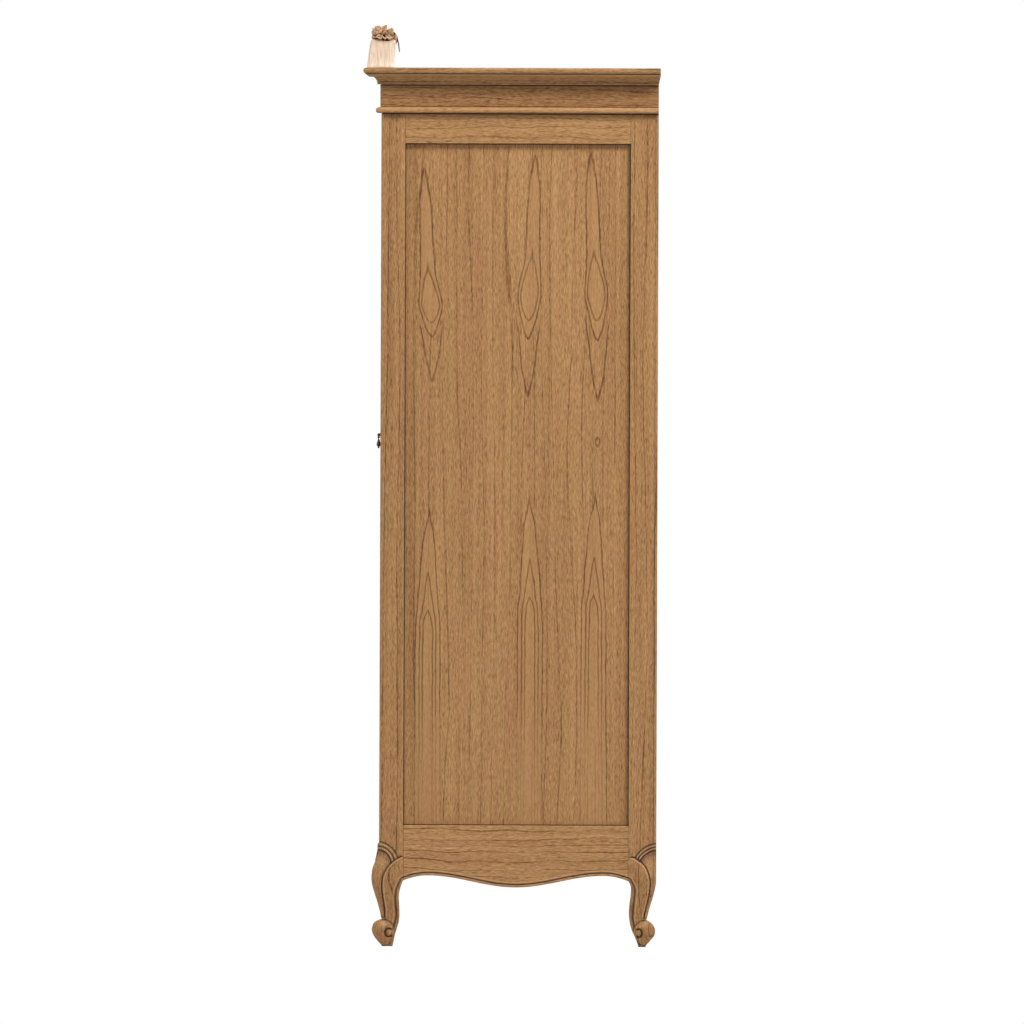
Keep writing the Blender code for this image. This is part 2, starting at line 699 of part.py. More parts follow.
def door_frame(side, axis):
    """Two stiles, two rails and the panel in their grooves."""
    name = f"{side_name(side)}_door"
    y = (DOOR_FRONT, DOOR_BACK)
    z = (DOOR_BOTTOM, DOOR_TOP)
    outer = DOOR_OUTER_X - STILE_WIDTH
    inner = DOOR_INNER_X + STILE_WIDTH
    rail_x = sided(side, inner + CLEARANCE, outer - CLEARANCE)
    frame = [
        box(f"{name}_hinge_stile", sided(side, outer, DOOR_OUTER_X), y, z, WOOD),
        box(f"{name}_meeting_stile", sided(side, DOOR_INNER_X, inner), y, z, WOOD),
        box(f"{name}_top_rail", rail_x, y, (DOOR_TOP - DOOR_TOP_RAIL, DOOR_TOP), WOOD),
        box(
            f"{name}_bottom_rail", rail_x, y, (DOOR_BOTTOM, DOOR_BOTTOM + DOOR_BOTTOM_RAIL), WOOD
        ),
    ]
    panel_x = sided(side, inner - GROOVE_DEPTH, outer + GROOVE_DEPTH)
    middle = (DOOR_FRONT + DOOR_BACK) / 2
    panel_y = (middle - PANEL_THICKNESS / 2, middle + PANEL_THICKNESS / 2)
    panel_z = (
        DOOR_BOTTOM + DOOR_BOTTOM_RAIL - GROOVE_DEPTH,
        DOOR_TOP - DOOR_TOP_RAIL + GROOVE_DEPTH,
    )
    panel = fielded_panel(f"{name}_panel", panel_x, panel_y, panel_z)
    groove = box(f"{name}_groove", grown(panel_x), grown(panel_y), grown(panel_z))
    for piece in frame:
        boolean(piece, groove, "DIFFERENCE")
    for piece in (*frame, panel):
        carried(piece, axis)


def hinge(side, place, height, axis):
    """A leaf and lower knuckle with the pin on the post, and a leaf and upper knuckle on the door."""
    name = f"{side_name(side)}_{place}_hinge"
    upright = Vector((0, 0, 1))
    axis_x = side * HINGE_AXIS_X
    leaf_y = (HINGE_AXIS_Y, HINGE_AXIS_Y + LEAF_DEPTH)
    post_leaf_x = POST_INNER_X - CLEARANCE
    door_leaf_x = DOOR_OUTER_X + CLEARANCE
    low = (height - KNUCKLE_HEIGHT, height - CLEARANCE)
    high = (height + CLEARANCE, height + KNUCKLE_HEIGHT)

    def knuckle(part, limits, finish=None):
        middle = (axis_x, HINGE_AXIS_Y, (limits[0] + limits[1]) / 2)
        length = limits[1] - limits[0]
        return cylinder(part, middle, KNUCKLE_RADIUS, length, upright, finish)

    fixed = knuckle(f"{name}_post_leaf", low, STEEL)
    leaf = box(
        f"{name}_fixed_plate", sided(side, post_leaf_x - LEAF_THICKNESS, post_leaf_x), leaf_y, low
    )
    boolean(fixed, leaf, "UNION")
    pin_low = height - HINGE_ROOT
    pin_high = height + HINGE_PIN_LENGTH
    pin_middle = (axis_x, HINGE_AXIS_Y, (pin_low + pin_high) / 2)
    pin = cylinder(f"{name}_pin", pin_middle, HINGE_PIN_RADIUS, pin_high - pin_low, upright)
    boolean(fixed, pin, "UNION")

    moving = knuckle(f"{name}_door_leaf", high, STEEL)
    leaf = box(
        f"{name}_moving_plate", sided(side, door_leaf_x, door_leaf_x + LEAF_THICKNESS), leaf_y, high
    )
    boolean(moving, leaf, "UNION")
    bore_low = height - KNUCKLE_HEIGHT
    bore_high = pin_high + CLEARANCE
    bore_middle = (axis_x, HINGE_AXIS_Y, (bore_low + bore_high) / 2)
    bore_radius = HINGE_PIN_RADIUS + CLEARANCE
    bore = cylinder(f"{name}_bore", bore_middle, bore_radius, bore_high - bore_low, upright)
    boolean(moving, bore, "DIFFERENCE")
    carried(moving, axis)


def drop_profile():
    """The hanging drop from its neck down to its tip, as radius and depth below the pivot."""
    top = EYE_RADIUS * 0.7
    profile = [(0.0, -top), (DROP_NECK_RADIUS, -top)]
    for step in range(1, DROP_STEPS):
        share = step / DROP_STEPS
        swell = sin(pi * share**1.6)
        radius = DROP_NECK_RADIUS * (1 - share) + DROP_RADIUS * swell
        profile.append((radius, -top - (DROP_LENGTH - top) * share))
    profile.append((0.0, -DROP_LENGTH))
    return profile


def turned(name, profile, origin, finish):
    """A shape turned about the upright line through its origin."""
    mesh = bpy.data.meshes.new(name)
    points = [(radius, 0, height) for radius, height in profile]
    edges = [(index, index + 1) for index in range(len(points) - 1)]
    mesh.from_pydata(points, edges, [])
    thing = placed(name, mesh, origin, finish)
    screw = thing.modifiers.new("turn", "SCREW")
    screw.axis = "Z"
    screw.steps = DROP_TURN_STEPS
    screw.render_steps = DROP_TURN_STEPS
    screw.use_merge_vertices = True
    screw.merge_threshold = 0.00001
    return thing


def pull(side, axis):
    """A plate with two ears and a pin, and the drop that swings on the pin."""
    name = side_name(side)
    x = side * (DOOR_INNER_X + PULL_EDGE_MARGIN)
    face = DOOR_FRONT - CLEARANCE
    pivot = Vector((x, face - PULL_PIVOT_OUT, PULL_HEIGHT))
    z = (
        PULL_HEIGHT + PLATE_ABOVE_PIVOT - PLATE_HEIGHT,
        PULL_HEIGHT + PLATE_ABOVE_PIVOT,
    )
    plate_x = (x - PLATE_WIDTH / 2, x + PLATE_WIDTH / 2)
    plate = box(f"{name}_pull_plate", plate_x, (face - PLATE_THICKNESS, face), z, BRONZE)
    ear_reach = EYE_WIDTH / 2 + EYE_SIDE_PLAY
    for ear_side in (-1, 1):
        near = x + ear_side * ear_reach
        far = x + ear_side * (ear_reach + EAR_THICKNESS)
        ear = box(
            f"{name}_ear",
            tuple(sorted((near, far))),
            (pivot.y - EYE_RADIUS, face - PLATE_THICKNESS / 2),
            (PULL_HEIGHT - EAR_HEIGHT / 2, PULL_HEIGHT + EAR_HEIGHT / 2),
        )
        boolean(plate, ear, "UNION")
    pin_length = 2 * ear_reach + EAR_THICKNESS
    pin = cylinder(f"{name}_pull_pin", pivot, PULL_PIN_RADIUS, pin_length, Vector((1, 0, 0)))
    boolean(plate, pin, "UNION")
    carried(plate, axis)

    drop = turned(f"{name}_pull_drop", drop_profile(), pivot, BRONZE)
    eye = cylinder(f"{name}_pull_eye", pivot, EYE_RADIUS, EYE_WIDTH, Vector((1, 0, 0)))
    boolean(drop, eye, "UNION")
    hole_radius = PULL_PIN_RADIUS + CLEARANCE
    hole = cylinder(
        f"{name}_pull_hole", pivot, hole_radius, EYE_WIDTH * 2, Vector((1, 0, 0))
    )
    boolean(drop, hole, "DIFFERENCE")
    carried(drop, axis)


def bolt_limits(way):
    """How far the bolt at the top (way 1) or bottom (way -1) of the left door reaches, drawn back."""
    if way > 0:
        tip = OPENING_TOP - BOLT_END_GAP
    else:
        tip = FLOOR_BOARD_TOP + BOLT_END_GAP
    return tuple(sorted((tip, tip - way * BOLT_LENGTH)))


def bolt_middle():
    x = -(DOOR_INNER_X + BOLT_EDGE_MARGIN)
    return x, DOOR_BACK + CLEARANCE + CASE_WALL + CLEARANCE + BOLT_DEPTH / 2


def slide_bolt(way, axis):
    """A flat bolt with a knob, and the slotted case that it slides in."""
    name = "top" if way > 0 else "bottom"
    x, y = bolt_middle()
    low, high = bolt_limits(way)
    bar_x = (x - BOLT_WIDTH / 2, x + BOLT_WIDTH / 2)
    bar_y = (y - BOLT_DEPTH / 2, y + BOLT_DEPTH / 2)
    bar = box(f"{name}_bolt", bar_x, bar_y, (low, high), STEEL)
    case_end = high - CASE_END_MARGIN if way > 0 else low + CASE_END_MARGIN
    case_z = tuple(sorted((case_end, case_end - way * CASE_LENGTH)))
    knob_z = case_z[0] + CASE_LENGTH / 2 - way * BOLT_TRAVEL / 2
    knob_y = y + BOLT_KNOB_LENGTH / 2
    knob = cylinder(
        f"{name}_bolt_knob",
        (x, knob_y, knob_z),
        BOLT_KNOB_RADIUS,
        BOLT_KNOB_LENGTH,
        Vector((0, 1, 0)),
    )
    boolean(bar, knob, "UNION")
    carried(bar, axis)

    case_y = (DOOR_BACK + CLEARANCE, bar_y[1] + CLEARANCE + CASE_WALL)
    wall = CASE_WALL + CLEARANCE
    case = box(f"{name}_bolt_case", grown(bar_x, wall), case_y, case_z, STEEL, 0)
    channel = box(f"{name}_channel", grown(bar_x), grown(bar_y), grown(case_z, CASE_WALL))
    slot_half = BOLT_SLOT_WIDTH / 2
    slot_reach = BOLT_TRAVEL / 2 + BOLT_KNOB_RADIUS + CLEARANCE
    slot_middle = case_z[0] + CASE_LENGTH / 2
    slot = box(
        f"{name}_slot",
        (x - slot_half, x + slot_half),
        (y, case_y[1] + CASE_WALL),
        (slot_middle - slot_reach, slot_middle + slot_reach),
    )
    boolean(case, channel, "DIFFERENCE")
    boolean(case, slot, "DIFFERENCE")
    carried(case, axis)


def bolt_hole():
    """Where the bottom bolt drops through the floor board."""
    x, y = bolt_middle()
    play = 2 * CLEARANCE
    bottom = FLOOR_BOARD_TOP - FLOOR_BOARD_THICKNESS
    return box(
        "bolt_hole",
        (x - BOLT_WIDTH / 2 - play, x + BOLT_WIDTH / 2 + play),
        (y - BOLT_DEPTH / 2 - play, y + BOLT_DEPTH / 2 + play),
        (bottom - BOLT_TRAVEL, FLOOR_BOARD_TOP + BOLT_TRAVEL),
    )


def door_catch():
    """An angled catch on the back of the top rail, just behind the right door."""
    rail_back = FRONT + FRAME_THICKNESS + CLEARANCE
    door_back = DOOR_BACK + CATCH_PLAY
    back = max(rail_back, door_back) + CATCH_DEPTH
    outline = [
        (rail_back, OPENING_TOP + CATCH_RISE),
        (rail_back, OPENING_TOP + CLEARANCE),
        (door_back, OPENING_TOP + CLEARANCE),
        (door_back, OPENING_TOP - CATCH_DROP),
        (back, OPENING_TOP - CATCH_DROP),
        (back, OPENING_TOP + CATCH_RISE),
    ]
    x = (CATCH_FROM_MIDDLE, CATCH_FROM_MIDDLE + CATCH_WIDTH)
    slab("door_catch", outline, "YZ", *x, STEEL)


def build():
    back_posts = []
    for side in (-1, 1):
        front_post = post(side, True)
        back_post = post(side, False)
        back_posts.append(back_post)
        body_side(side, front_post, back_post)
    body_front()
    body_back(back_posts)
    floor_board(bolt_hole())
    inside()
    edged_board(
        "top_board",
        BEAD_REACH,
        0.0,
        TOP_BOARD_BOTTOM,
        TOP_BOARD_THICKNESS,
        TOP_BOARD_THICKNESS / 2 - CLEARANCE,
        4,
        WOOD,
    )
    cornice()
    crest()
    door_catch()
    for side in (-1, 1):
        place = (side * HINGE_AXIS_X, HINGE_AXIS_Y, 0)
        axis = axis_point(f"{side_name(side)}_door_axis", place)
        door_frame(side, axis)
        for height_name, height in HINGE_HEIGHTS.items():
            hinge(side, height_name, height, axis)
        pull(side, axis)
        if side < 0:
            for way in (-1, 1):
                slide_bolt(way, axis)


build()
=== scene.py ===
"""Finishes and fine shapes of the two-door wardrobe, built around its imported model.

Metres, with +Z up and the front towards -Y, as in the model. Left is -X. Tables of knots, mouldings
and leaves are in millimetres.
"""

import itertools
from math import cos, pi, radians, sin

import bmesh
import bpy
import numpy as np
from mathutils import Euler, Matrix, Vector


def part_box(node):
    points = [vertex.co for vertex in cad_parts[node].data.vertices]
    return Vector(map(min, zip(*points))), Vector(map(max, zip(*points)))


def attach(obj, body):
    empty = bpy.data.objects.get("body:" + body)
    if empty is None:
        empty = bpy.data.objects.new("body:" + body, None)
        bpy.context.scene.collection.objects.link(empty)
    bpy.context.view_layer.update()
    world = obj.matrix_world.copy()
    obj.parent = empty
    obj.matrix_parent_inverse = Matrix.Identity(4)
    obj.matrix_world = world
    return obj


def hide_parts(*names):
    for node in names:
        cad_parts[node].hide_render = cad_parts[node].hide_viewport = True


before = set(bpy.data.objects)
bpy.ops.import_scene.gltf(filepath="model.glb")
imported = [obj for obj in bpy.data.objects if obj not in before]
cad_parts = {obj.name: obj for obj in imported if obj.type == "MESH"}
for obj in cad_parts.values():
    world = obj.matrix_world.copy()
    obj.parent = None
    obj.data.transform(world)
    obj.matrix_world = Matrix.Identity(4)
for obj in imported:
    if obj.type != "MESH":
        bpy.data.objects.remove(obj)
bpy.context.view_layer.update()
SIDES = ((-1, "left"), (1, "right"))

# The frame's own planes
RAIL_LOW, RAIL_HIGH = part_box("right_side_rail")
FRONT_RAIL_LOW, FRONT_RAIL_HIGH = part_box("front_top_rail")
FRONT_Y = FRONT_RAIL_LOW.y
BACK_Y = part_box("back_top_rail")[1].y
SIDE_X = RAIL_HIGH.x
FRAME_BACK_X = RAIL_LOW.x
SIDE_FRONT_Y = RAIL_LOW.y
SIDE_BACK_Y = RAIL_HIGH.y
BODY_TOP = RAIL_HIGH.z
APRON_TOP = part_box("right_side_apron")[1].z
POST_WIDTH = SIDE_X - FRONT_RAIL_HIGH.x
BACK_POST_DEPTH = BACK_Y - SIDE_BACK_Y

# The photograph's frame: its width, what its middle looks at, and its small tilt
VIEW_WIDTH = 2.149
VIEW_DISTANCE = 3.2
VIEW_MIDDLE = (0.0025, 0.9119)
VIEW_ROLL = radians(0.2)

# Edges that turn more than this stay sharp
SMOOTH_ANGLE = radians(38)


def mm(*rows):
    """Rows of numbers given in millimetres, in metres."""
    return np.array(rows, float) / 1000


def sign(operation):
    """A sign between results, as the math node that works it out."""

    def work(*values):
        return values[0].tree.math(operation, *values)

    return work


class Result:
    """What a node gives. Sums of results are written as sums, and | takes the larger."""

    def __init__(self, tree, socket):
        self.tree = tree
        self.socket = socket

    __add__ = sign("ADD")
    __sub__ = sign("SUBTRACT")
    __mul__ = sign("MULTIPLY")
    __truediv__ = sign("DIVIDE")
    __gt__ = sign("GREATER_THAN")
    __or__ = sign("MAXIMUM")
    __abs__ = sign("ABSOLUTE")


class Tree:
    """Short ways to add nodes to a node tree and to join them."""

    def __init__(self, tree):
        self.tree = tree

    def feed(self, socket, value):
        if isinstance(value, Result):
            self.tree.links.new(value.socket, socket)
        else:
            socket.default_value = value

    def fill(self, node, inputs):
        """Feeds a node's inputs, which are given in order or by name."""
        pairs = inputs.items() if isinstance(inputs, dict) else enumerate(inputs)
        for name, value in pairs:
            self.feed(node.inputs[name], value)

    def add(self, kind, inputs=(), give=0, **settings):
        """What a new node gives, or a list of results where several outputs are asked for."""
        node = self.tree.nodes.new("ShaderNode" + kind)
        for name, value in settings.items():
            setattr(node, name, value)
        self.fill(node, inputs)
        if isinstance(give, tuple):
            return [Result(self, node.outputs[name]) for name in give]
        return Result(self, node.outputs[give])

    def math(self, operation, *values, clamp=False):
        return self.add("Math", values, operation=operation, use_clamp=clamp)

    def vector(self, operation, *values, give=0):
        return self.add("VectorMath", values, give, operation=operation)

    def parts(self, place):
        return self.add("SeparateXYZ", (place,), (0, 1, 2))

    def spread(self, value, low, high, to_low=0, to_high=1):
        """The value's share of the way from low to high, eased, as a number between the others."""
        inputs = (value, low, high, to_low, to_high)
        return self.add("MapRange", inputs, interpolation_type="SMOOTHSTEP")

    def noise(self, place, across, along, detail, roughness=0.5, give="Fac"):
        """Noise with this many swings a metre across the grain and along it."""
        stretched = self.vector("MULTIPLY", place, (across, across, along))
        inputs = {"Vector": stretched, "Scale": 1, "Detail": detail, "Roughness": roughness}
        return self.add("TexNoise", inputs, give)

    def mix(self, share, first, second):
        """Two colours mixed, at the places where the node keeps its colour sockets."""
        return self.add("Mix", {0: share, 6: first, 7: second}, 2, data_type="RGBA")

    def ramp(self, share, stops):
        colour = self.add("ValToRGB", (share,))
        elements = colour.socket.node.color_ramp.elements
        while len(elements) < len(stops):
            elements.new(0.5)
        for element, (place, *stop) in zip(elements, stops):
            element.position = place
            element.color = linear(*stop)
        return colour

    def curve(self, share, points):
        """A smooth curve through points whose places and values both run from 0 to 1."""
        height = self.add("FloatCurve", {"Value": share})
        mapping = height.socket.node.mapping
        line = mapping.curves[0]
        while len(line.points) < len(points):
            line.points.new(0.5, 0.5)
        for point, place in zip(line.points, points):
            point.location = place
        mapping.update()
        return height

    def edge(self, radius):
        """The normal rounded over sharp edges, and how far it agrees with the flat one."""
        normal = self.add("Bevel", (radius,), samples=4)
        flat = self.add("NewGeometry", give="True Normal")
        return normal, self.vector("DOT_PRODUCT", normal, flat, give="Value")


def linear(red, green, blue):
    """A colour given as 0 to 255 in sRGB, as Blender's own linear values."""
    shares = []
    for value in (red, green, blue):
        share = value / 255
        shares.append(share / 12.92 if share <= 0.04045 else ((share + 0.055) / 1.055) ** 2.4)
    return (*shares, 1)


def new_object(name, data):
    thing = bpy.data.objects.new(name, data)
    bpy.context.scene.collection.objects.link(thing)
    return thing


def new_material(name):
    """An empty material with its node tree and its shader."""
    material = bpy.data.materials.new(name)
    material.use_nodes = True
    return material, Tree(material.node_tree), material.node_tree.nodes["Principled BSDF"]


def new_group(name, inputs, outputs):
    """A node group with number inputs and outputs, apart from its Position."""
    group = bpy.data.node_groups.new(name, "ShaderNodeTree")
    for way, sockets in (("INPUT", inputs), ("OUTPUT", outputs)):
        for socket in sockets:
            kind = "Vector" if socket == "Position" else "Float"
            group.interface.new_socket(socket, in_out=way, socket_type="NodeSocket" + kind)
    tree = Tree(group)
    given = group.nodes.new("NodeGroupInput").outputs
    wanted = group.nodes.new("NodeGroupOutput").inputs
    return tree, [Result(tree, given[name]) for name in inputs], [wanted[name] for name in outputs]


# Noise in the grain: swings a metre across it and along it, detail and roughness
SWAY = (13, 8, 1)
RING_FIELD = (14, 0.9, 1)
RING_BREAKS = (60, 9, 1)
FLECKS = (600, 85, 2)
DASHES = (330, 34, 1)
SPECKLE = (560, 90, 1)
STREAKS = (110, 1.3, 3, 0.6)
BROAD_SHADE = (9, 1.1, 2)
HUE_SWINGS = (70, 4, 2)

# How far half a ring line reaches
RING_LINE = (0.0016, 0.0003)


def grain_group():
    """Wood grain that runs along Z: how light the wood is, and how deep its pores are."""
    tree, (place, waviness, rings, lines), (to_shade, to_pores) = new_group(
        "grain", ("Position", "Waviness", "Rings", "Lines"), ("Shade", "Pores")
    )
    sway = tree.vector("SUBTRACT", tree.noise(place, *SWAY, give="Color"), (0.5, 0.5, 0.5))
    wave = tree.add("VectorMath", {0: sway, "Scale": waviness}, operation="SCALE")
    place = tree.vector("ADD", place, wave)

    x, y, _ = tree.parts(place)
    field = (x + y) * rings + tree.noise(place, *RING_FIELD) * 2.8
    ring = tree.spread(tree.math("PINGPONG", field, 0.5) / rings, *RING_LINE)
    ring = ring * tree.spread(tree.noise(place, *RING_BREAKS), 0.36, 0.62, 0.32, 1)
    flecks = tree.spread(tree.noise(place, *FLECKS), 0.5, 0.7)
    dashes = tree.spread(tree.noise(place, *DASHES), 0.55, 0.7)

    shade = tree.noise(place, *STREAKS) * 0.54 - 0.18
    shade = shade + tree.noise(place, *BROAD_SHADE) * 0.2 + tree.noise(place, *SPECKLE) * 0.9
    shade = shade - flecks * 0.24 - dashes * 0.12
    tree.feed(to_shade, tree.math("SUBTRACT", shade, ring * lines, clamp=True))
    tree.feed(to_pores, flecks | dashes | ring)
    return tree.tree


# A column of pointed arches is drawn as level lines of a long ridge: the ridge's strength by
# height, in square millimetres, and how its middle line leans to one side
RIDGE_LOW = 0.254
RIDGE_HIGH = 1.68
RIDGE_LEAST = -100
RIDGE_MOST = 800
RIDGE = (
    (0.254, 690), (0.498, 655), (0.68, 640), (0.708, 605), (0.733, 500), (0.811, 320),
    (0.888, 154), (0.939, 0), (1.063, -88), (1.158, 0), (1.175, 25), (1.19, 65),
    (1.205, 106), (1.228, 164), (1.25, 219), (1.276, 290), (1.303, 405), (1.314, 458),
    (1.325, 521), (1.34, 607), (1.355, 680), (1.366, 710), (1.374, 700), (1.393, 645),
    (1.408, 576), (1.43, 504), (1.449, 458), (1.472, 447), (1.509, 434), (1.546, 418),
    (1.584, 397), (1.622, 336), (1.652, 299), (1.658, 290), (1.68, 250),
)
LEAN = (
    (0.254, 0.6), (0.811, 0.6), (0.939, 0.73), (1.161, 1), (1.307, 0.9), (1.451, 0.43),
    (1.657, 0),
)

# Where the upper group of arches starts, how sharp the groups are, and the levels of their lines
RIDGE_SPLIT = 1.063
UPPER_SHARPNESS = 2
LOWER_SHARPNESS = 8
UPPER_LEVELS = (0, 290, 458)
LOWER_LEVELS = (0, 320, 500)

# The heights over which a column is squeezed, its outer line fades and its lines start
SQUEEZE_FADE = (1.42, 1.15)
OUTER_LINE_FADE = (1.34, 1.28)
LOW_FADE = (0.36, 0.6, 0.3, 1)
ARCH_RIPPLE = (40, 22, 2)
LINE_FADE = (30, 12, 1)

# The small knot between the groups
KNOT_Z = 1.059
KNOT_WIDTH = 0.009
KNOT_HEIGHT = 0.022


def along_ridge(points, low=0, high=1):
    """Points of a curve by height, with both heights and values as shares of their ranges."""
    span = RIDGE_HIGH - RIDGE_LOW
    return [((height - RIDGE_LOW) / span, (value - low) / (high - low)) for height, value in points]


def arches_group():
    """One column of nested arches on a panel, from the distance across it and the height."""
    names = ("Position", "Across", "Up", "Middle", "Lean", "Rise", "Squeeze", "Knot")
    tree, given, (to_line, to_inside) = new_group("arches", names, ("Line", "Inside"))
    place, across, height, middle, lean, rise, squeeze, knot_strength = given
    squeezed = tree.spread(height, *SQUEEZE_FADE) * squeeze * (height > RIDGE_SPLIT)
    up = height - rise - squeezed
    upper = up > RIDGE_SPLIT
    share = (up - RIDGE_LOW) / (RIDGE_HIGH - RIDGE_LOW)
    strength = tree.curve(share, along_ridge(RIDGE, RIDGE_LEAST, RIDGE_MOST))
    strength = strength * (RIDGE_MOST - RIDGE_LEAST) + RIDGE_LEAST
    middle = middle + tree.curve(share, along_ridge(LEAN)) * lean
    ripple = (tree.noise(place, *ARCH_RIPPLE) - 0.5) * 5
    offset = (across - middle) * 1000 + ripple
    aside = abs(offset)
    sharpness = upper * (UPPER_SHARPNESS - LOWER_SHARPNESS) + LOWER_SHARPNESS
    ridge = strength - aside * (aside * 0.65 + sharpness)
    slope = aside * 1.3 + upper * -2.5 + 8

    from_knot_across = offset / (KNOT_WIDTH * 500)
    from_knot_up = (height - KNOT_Z) / (KNOT_HEIGHT / 2)
    from_knot = from_knot_across * from_knot_across + from_knot_up * from_knot_up
    from_rim = abs(tree.math("SQRT", from_knot) - 0.8)
    line = tree.spread(from_rim, 0.45, 0.1) * knot_strength
    for high, low in zip(UPPER_LEVELS, LOWER_LEVELS):
        away = abs(ridge - (upper * (high - low) + low))
        near = tree.spread(away / slope, 2.1, 0.5)
        if high == UPPER_LEVELS[0]:
            near = near * tree.spread(up, *OUTER_LINE_FADE)
        line = line | near
    fade = tree.spread(tree.noise(place, *LINE_FADE), 0.3, 0.55, 0.7, 1)
    tree.feed(to_line, line * fade * tree.spread(up, *LOW_FADE))
    tree.feed(to_inside, tree.spread(ridge - upper * UPPER_LEVELS[1], -10, 60))
    return tree.tree


GRAIN = grain_group()
ARCHES = arches_group()

# Wood from its darkest line to its lightest streak: the place on the ramp, red, green and blue
TAN = (
    (0, 94, 62, 34), (0.3, 138, 98, 58), (0.58, 167, 124, 79), (0.82, 186, 142, 95),
    (1, 208, 164, 115),
)
# The crest's pale wood, painted paler still as a highlight for the bright light on its upper faces
PALE_AND_LIT = ((0, 172, 143, 115), (0.35, 194, 167, 139), (0.65, 208, 182, 156), (1, 224, 202, 178))
CARVED = ((0, 132, 95, 64), (0.35, 170, 130, 94), (0.65, 198, 158, 120), (1, 228, 192, 152))
# Colours of wax and of painted shade, on the wood and on the carving
WAX_AND_SHADE_COLOUR = linear(46, 38, 34)
CARVED_WAX_AND_SHADE = linear(92, 62, 40)
# Colour of worn edges and of painted highlights
WORN_AND_LIT = linear(222, 180, 132)

# How far the wood's hue strays, as a share of the colour circle
HUE_RANGE = 0.022

# Where wax and painted shade gather: how near another face must be, and the open share it needs
HOLLOW = (0.0055, 0.8)
CREST_HOLLOW = (0.0012, 0.5)
CARVED_HOLLOW = (0.0085, 0.88)

# Values for wax and painted shade in the carving, and for its wear and painted highlights
GROOVE_WAX_AND_SHADE = "groove_wax_and_shade"
LIP_WEAR_AND_HIGHLIGHT = "lip_wear_and_highlight"

# The calmer wood inside an arch: how light it is, and how far it goes that way
CALM_SHADE = 0.7
CALM_SHARE = 0.45

# How dark an arch's line is, and how strongly wear and painted highlights, and wax and painted shade,
# cover the wood
ARCH_DARKNESS = 0.42
WEAR_AND_HIGHLIGHT_COVER = 0.5
WAX_AND_SHADE_COVER = 0.9

# Lines of wax and painted shade along the edge of a board: how far each reaches on each side, and how
# thick it lies
# Painted shade in the recess round each side panel
PANEL_EDGE_SHADE = (0.0032, 1)
# Painted shadow along the tops of posts, rails and friezes, under the bead and the cove
SHADOW_UNDER_MOULDING = (0.0034, 1)
JOINT_WAX = (0.0016, 0.4)
APRON_END_WAX = (0.002, 0.6)
# Painted shade along the very bottom of each leg, against the floor
SOLE_SHADE = (0.0026, 0.85)
# Painted shadow under the bead and the roof, and on the cove's top under the roof
QUIRK_SHADOW = (0.002, 0.7)

# How the axes are taken so that the grain runs along the third
GRAIN_ORDER = {"X": (1, 2, 0), "Y": (2, 0, 1), "Z": (0, 1, 2)}

# The boards are numbered as they are made, and each lies this much further on in the wood
BOARD_NUMBERS = itertools.count(1)
BOARD_SHIFT = (0.37, 0.61, 1.13)


def grain_position(tree, axis, stretch):
    """A place in the wood with its grain along Z, in a log of its own for each board."""
    number = next(BOARD_NUMBERS)
    parts = tree.parts(tree.add("TexCoord", give="Object"))
    place = tree.add("CombineXYZ", [parts[source] for source in GRAIN_ORDER[axis]])
    if stretch:
        place = tree.vector("MULTIPLY", place, stretch)
    return tree.vector("ADD", place, tuple(shift * number for shift in BOARD_SHIFT)), parts


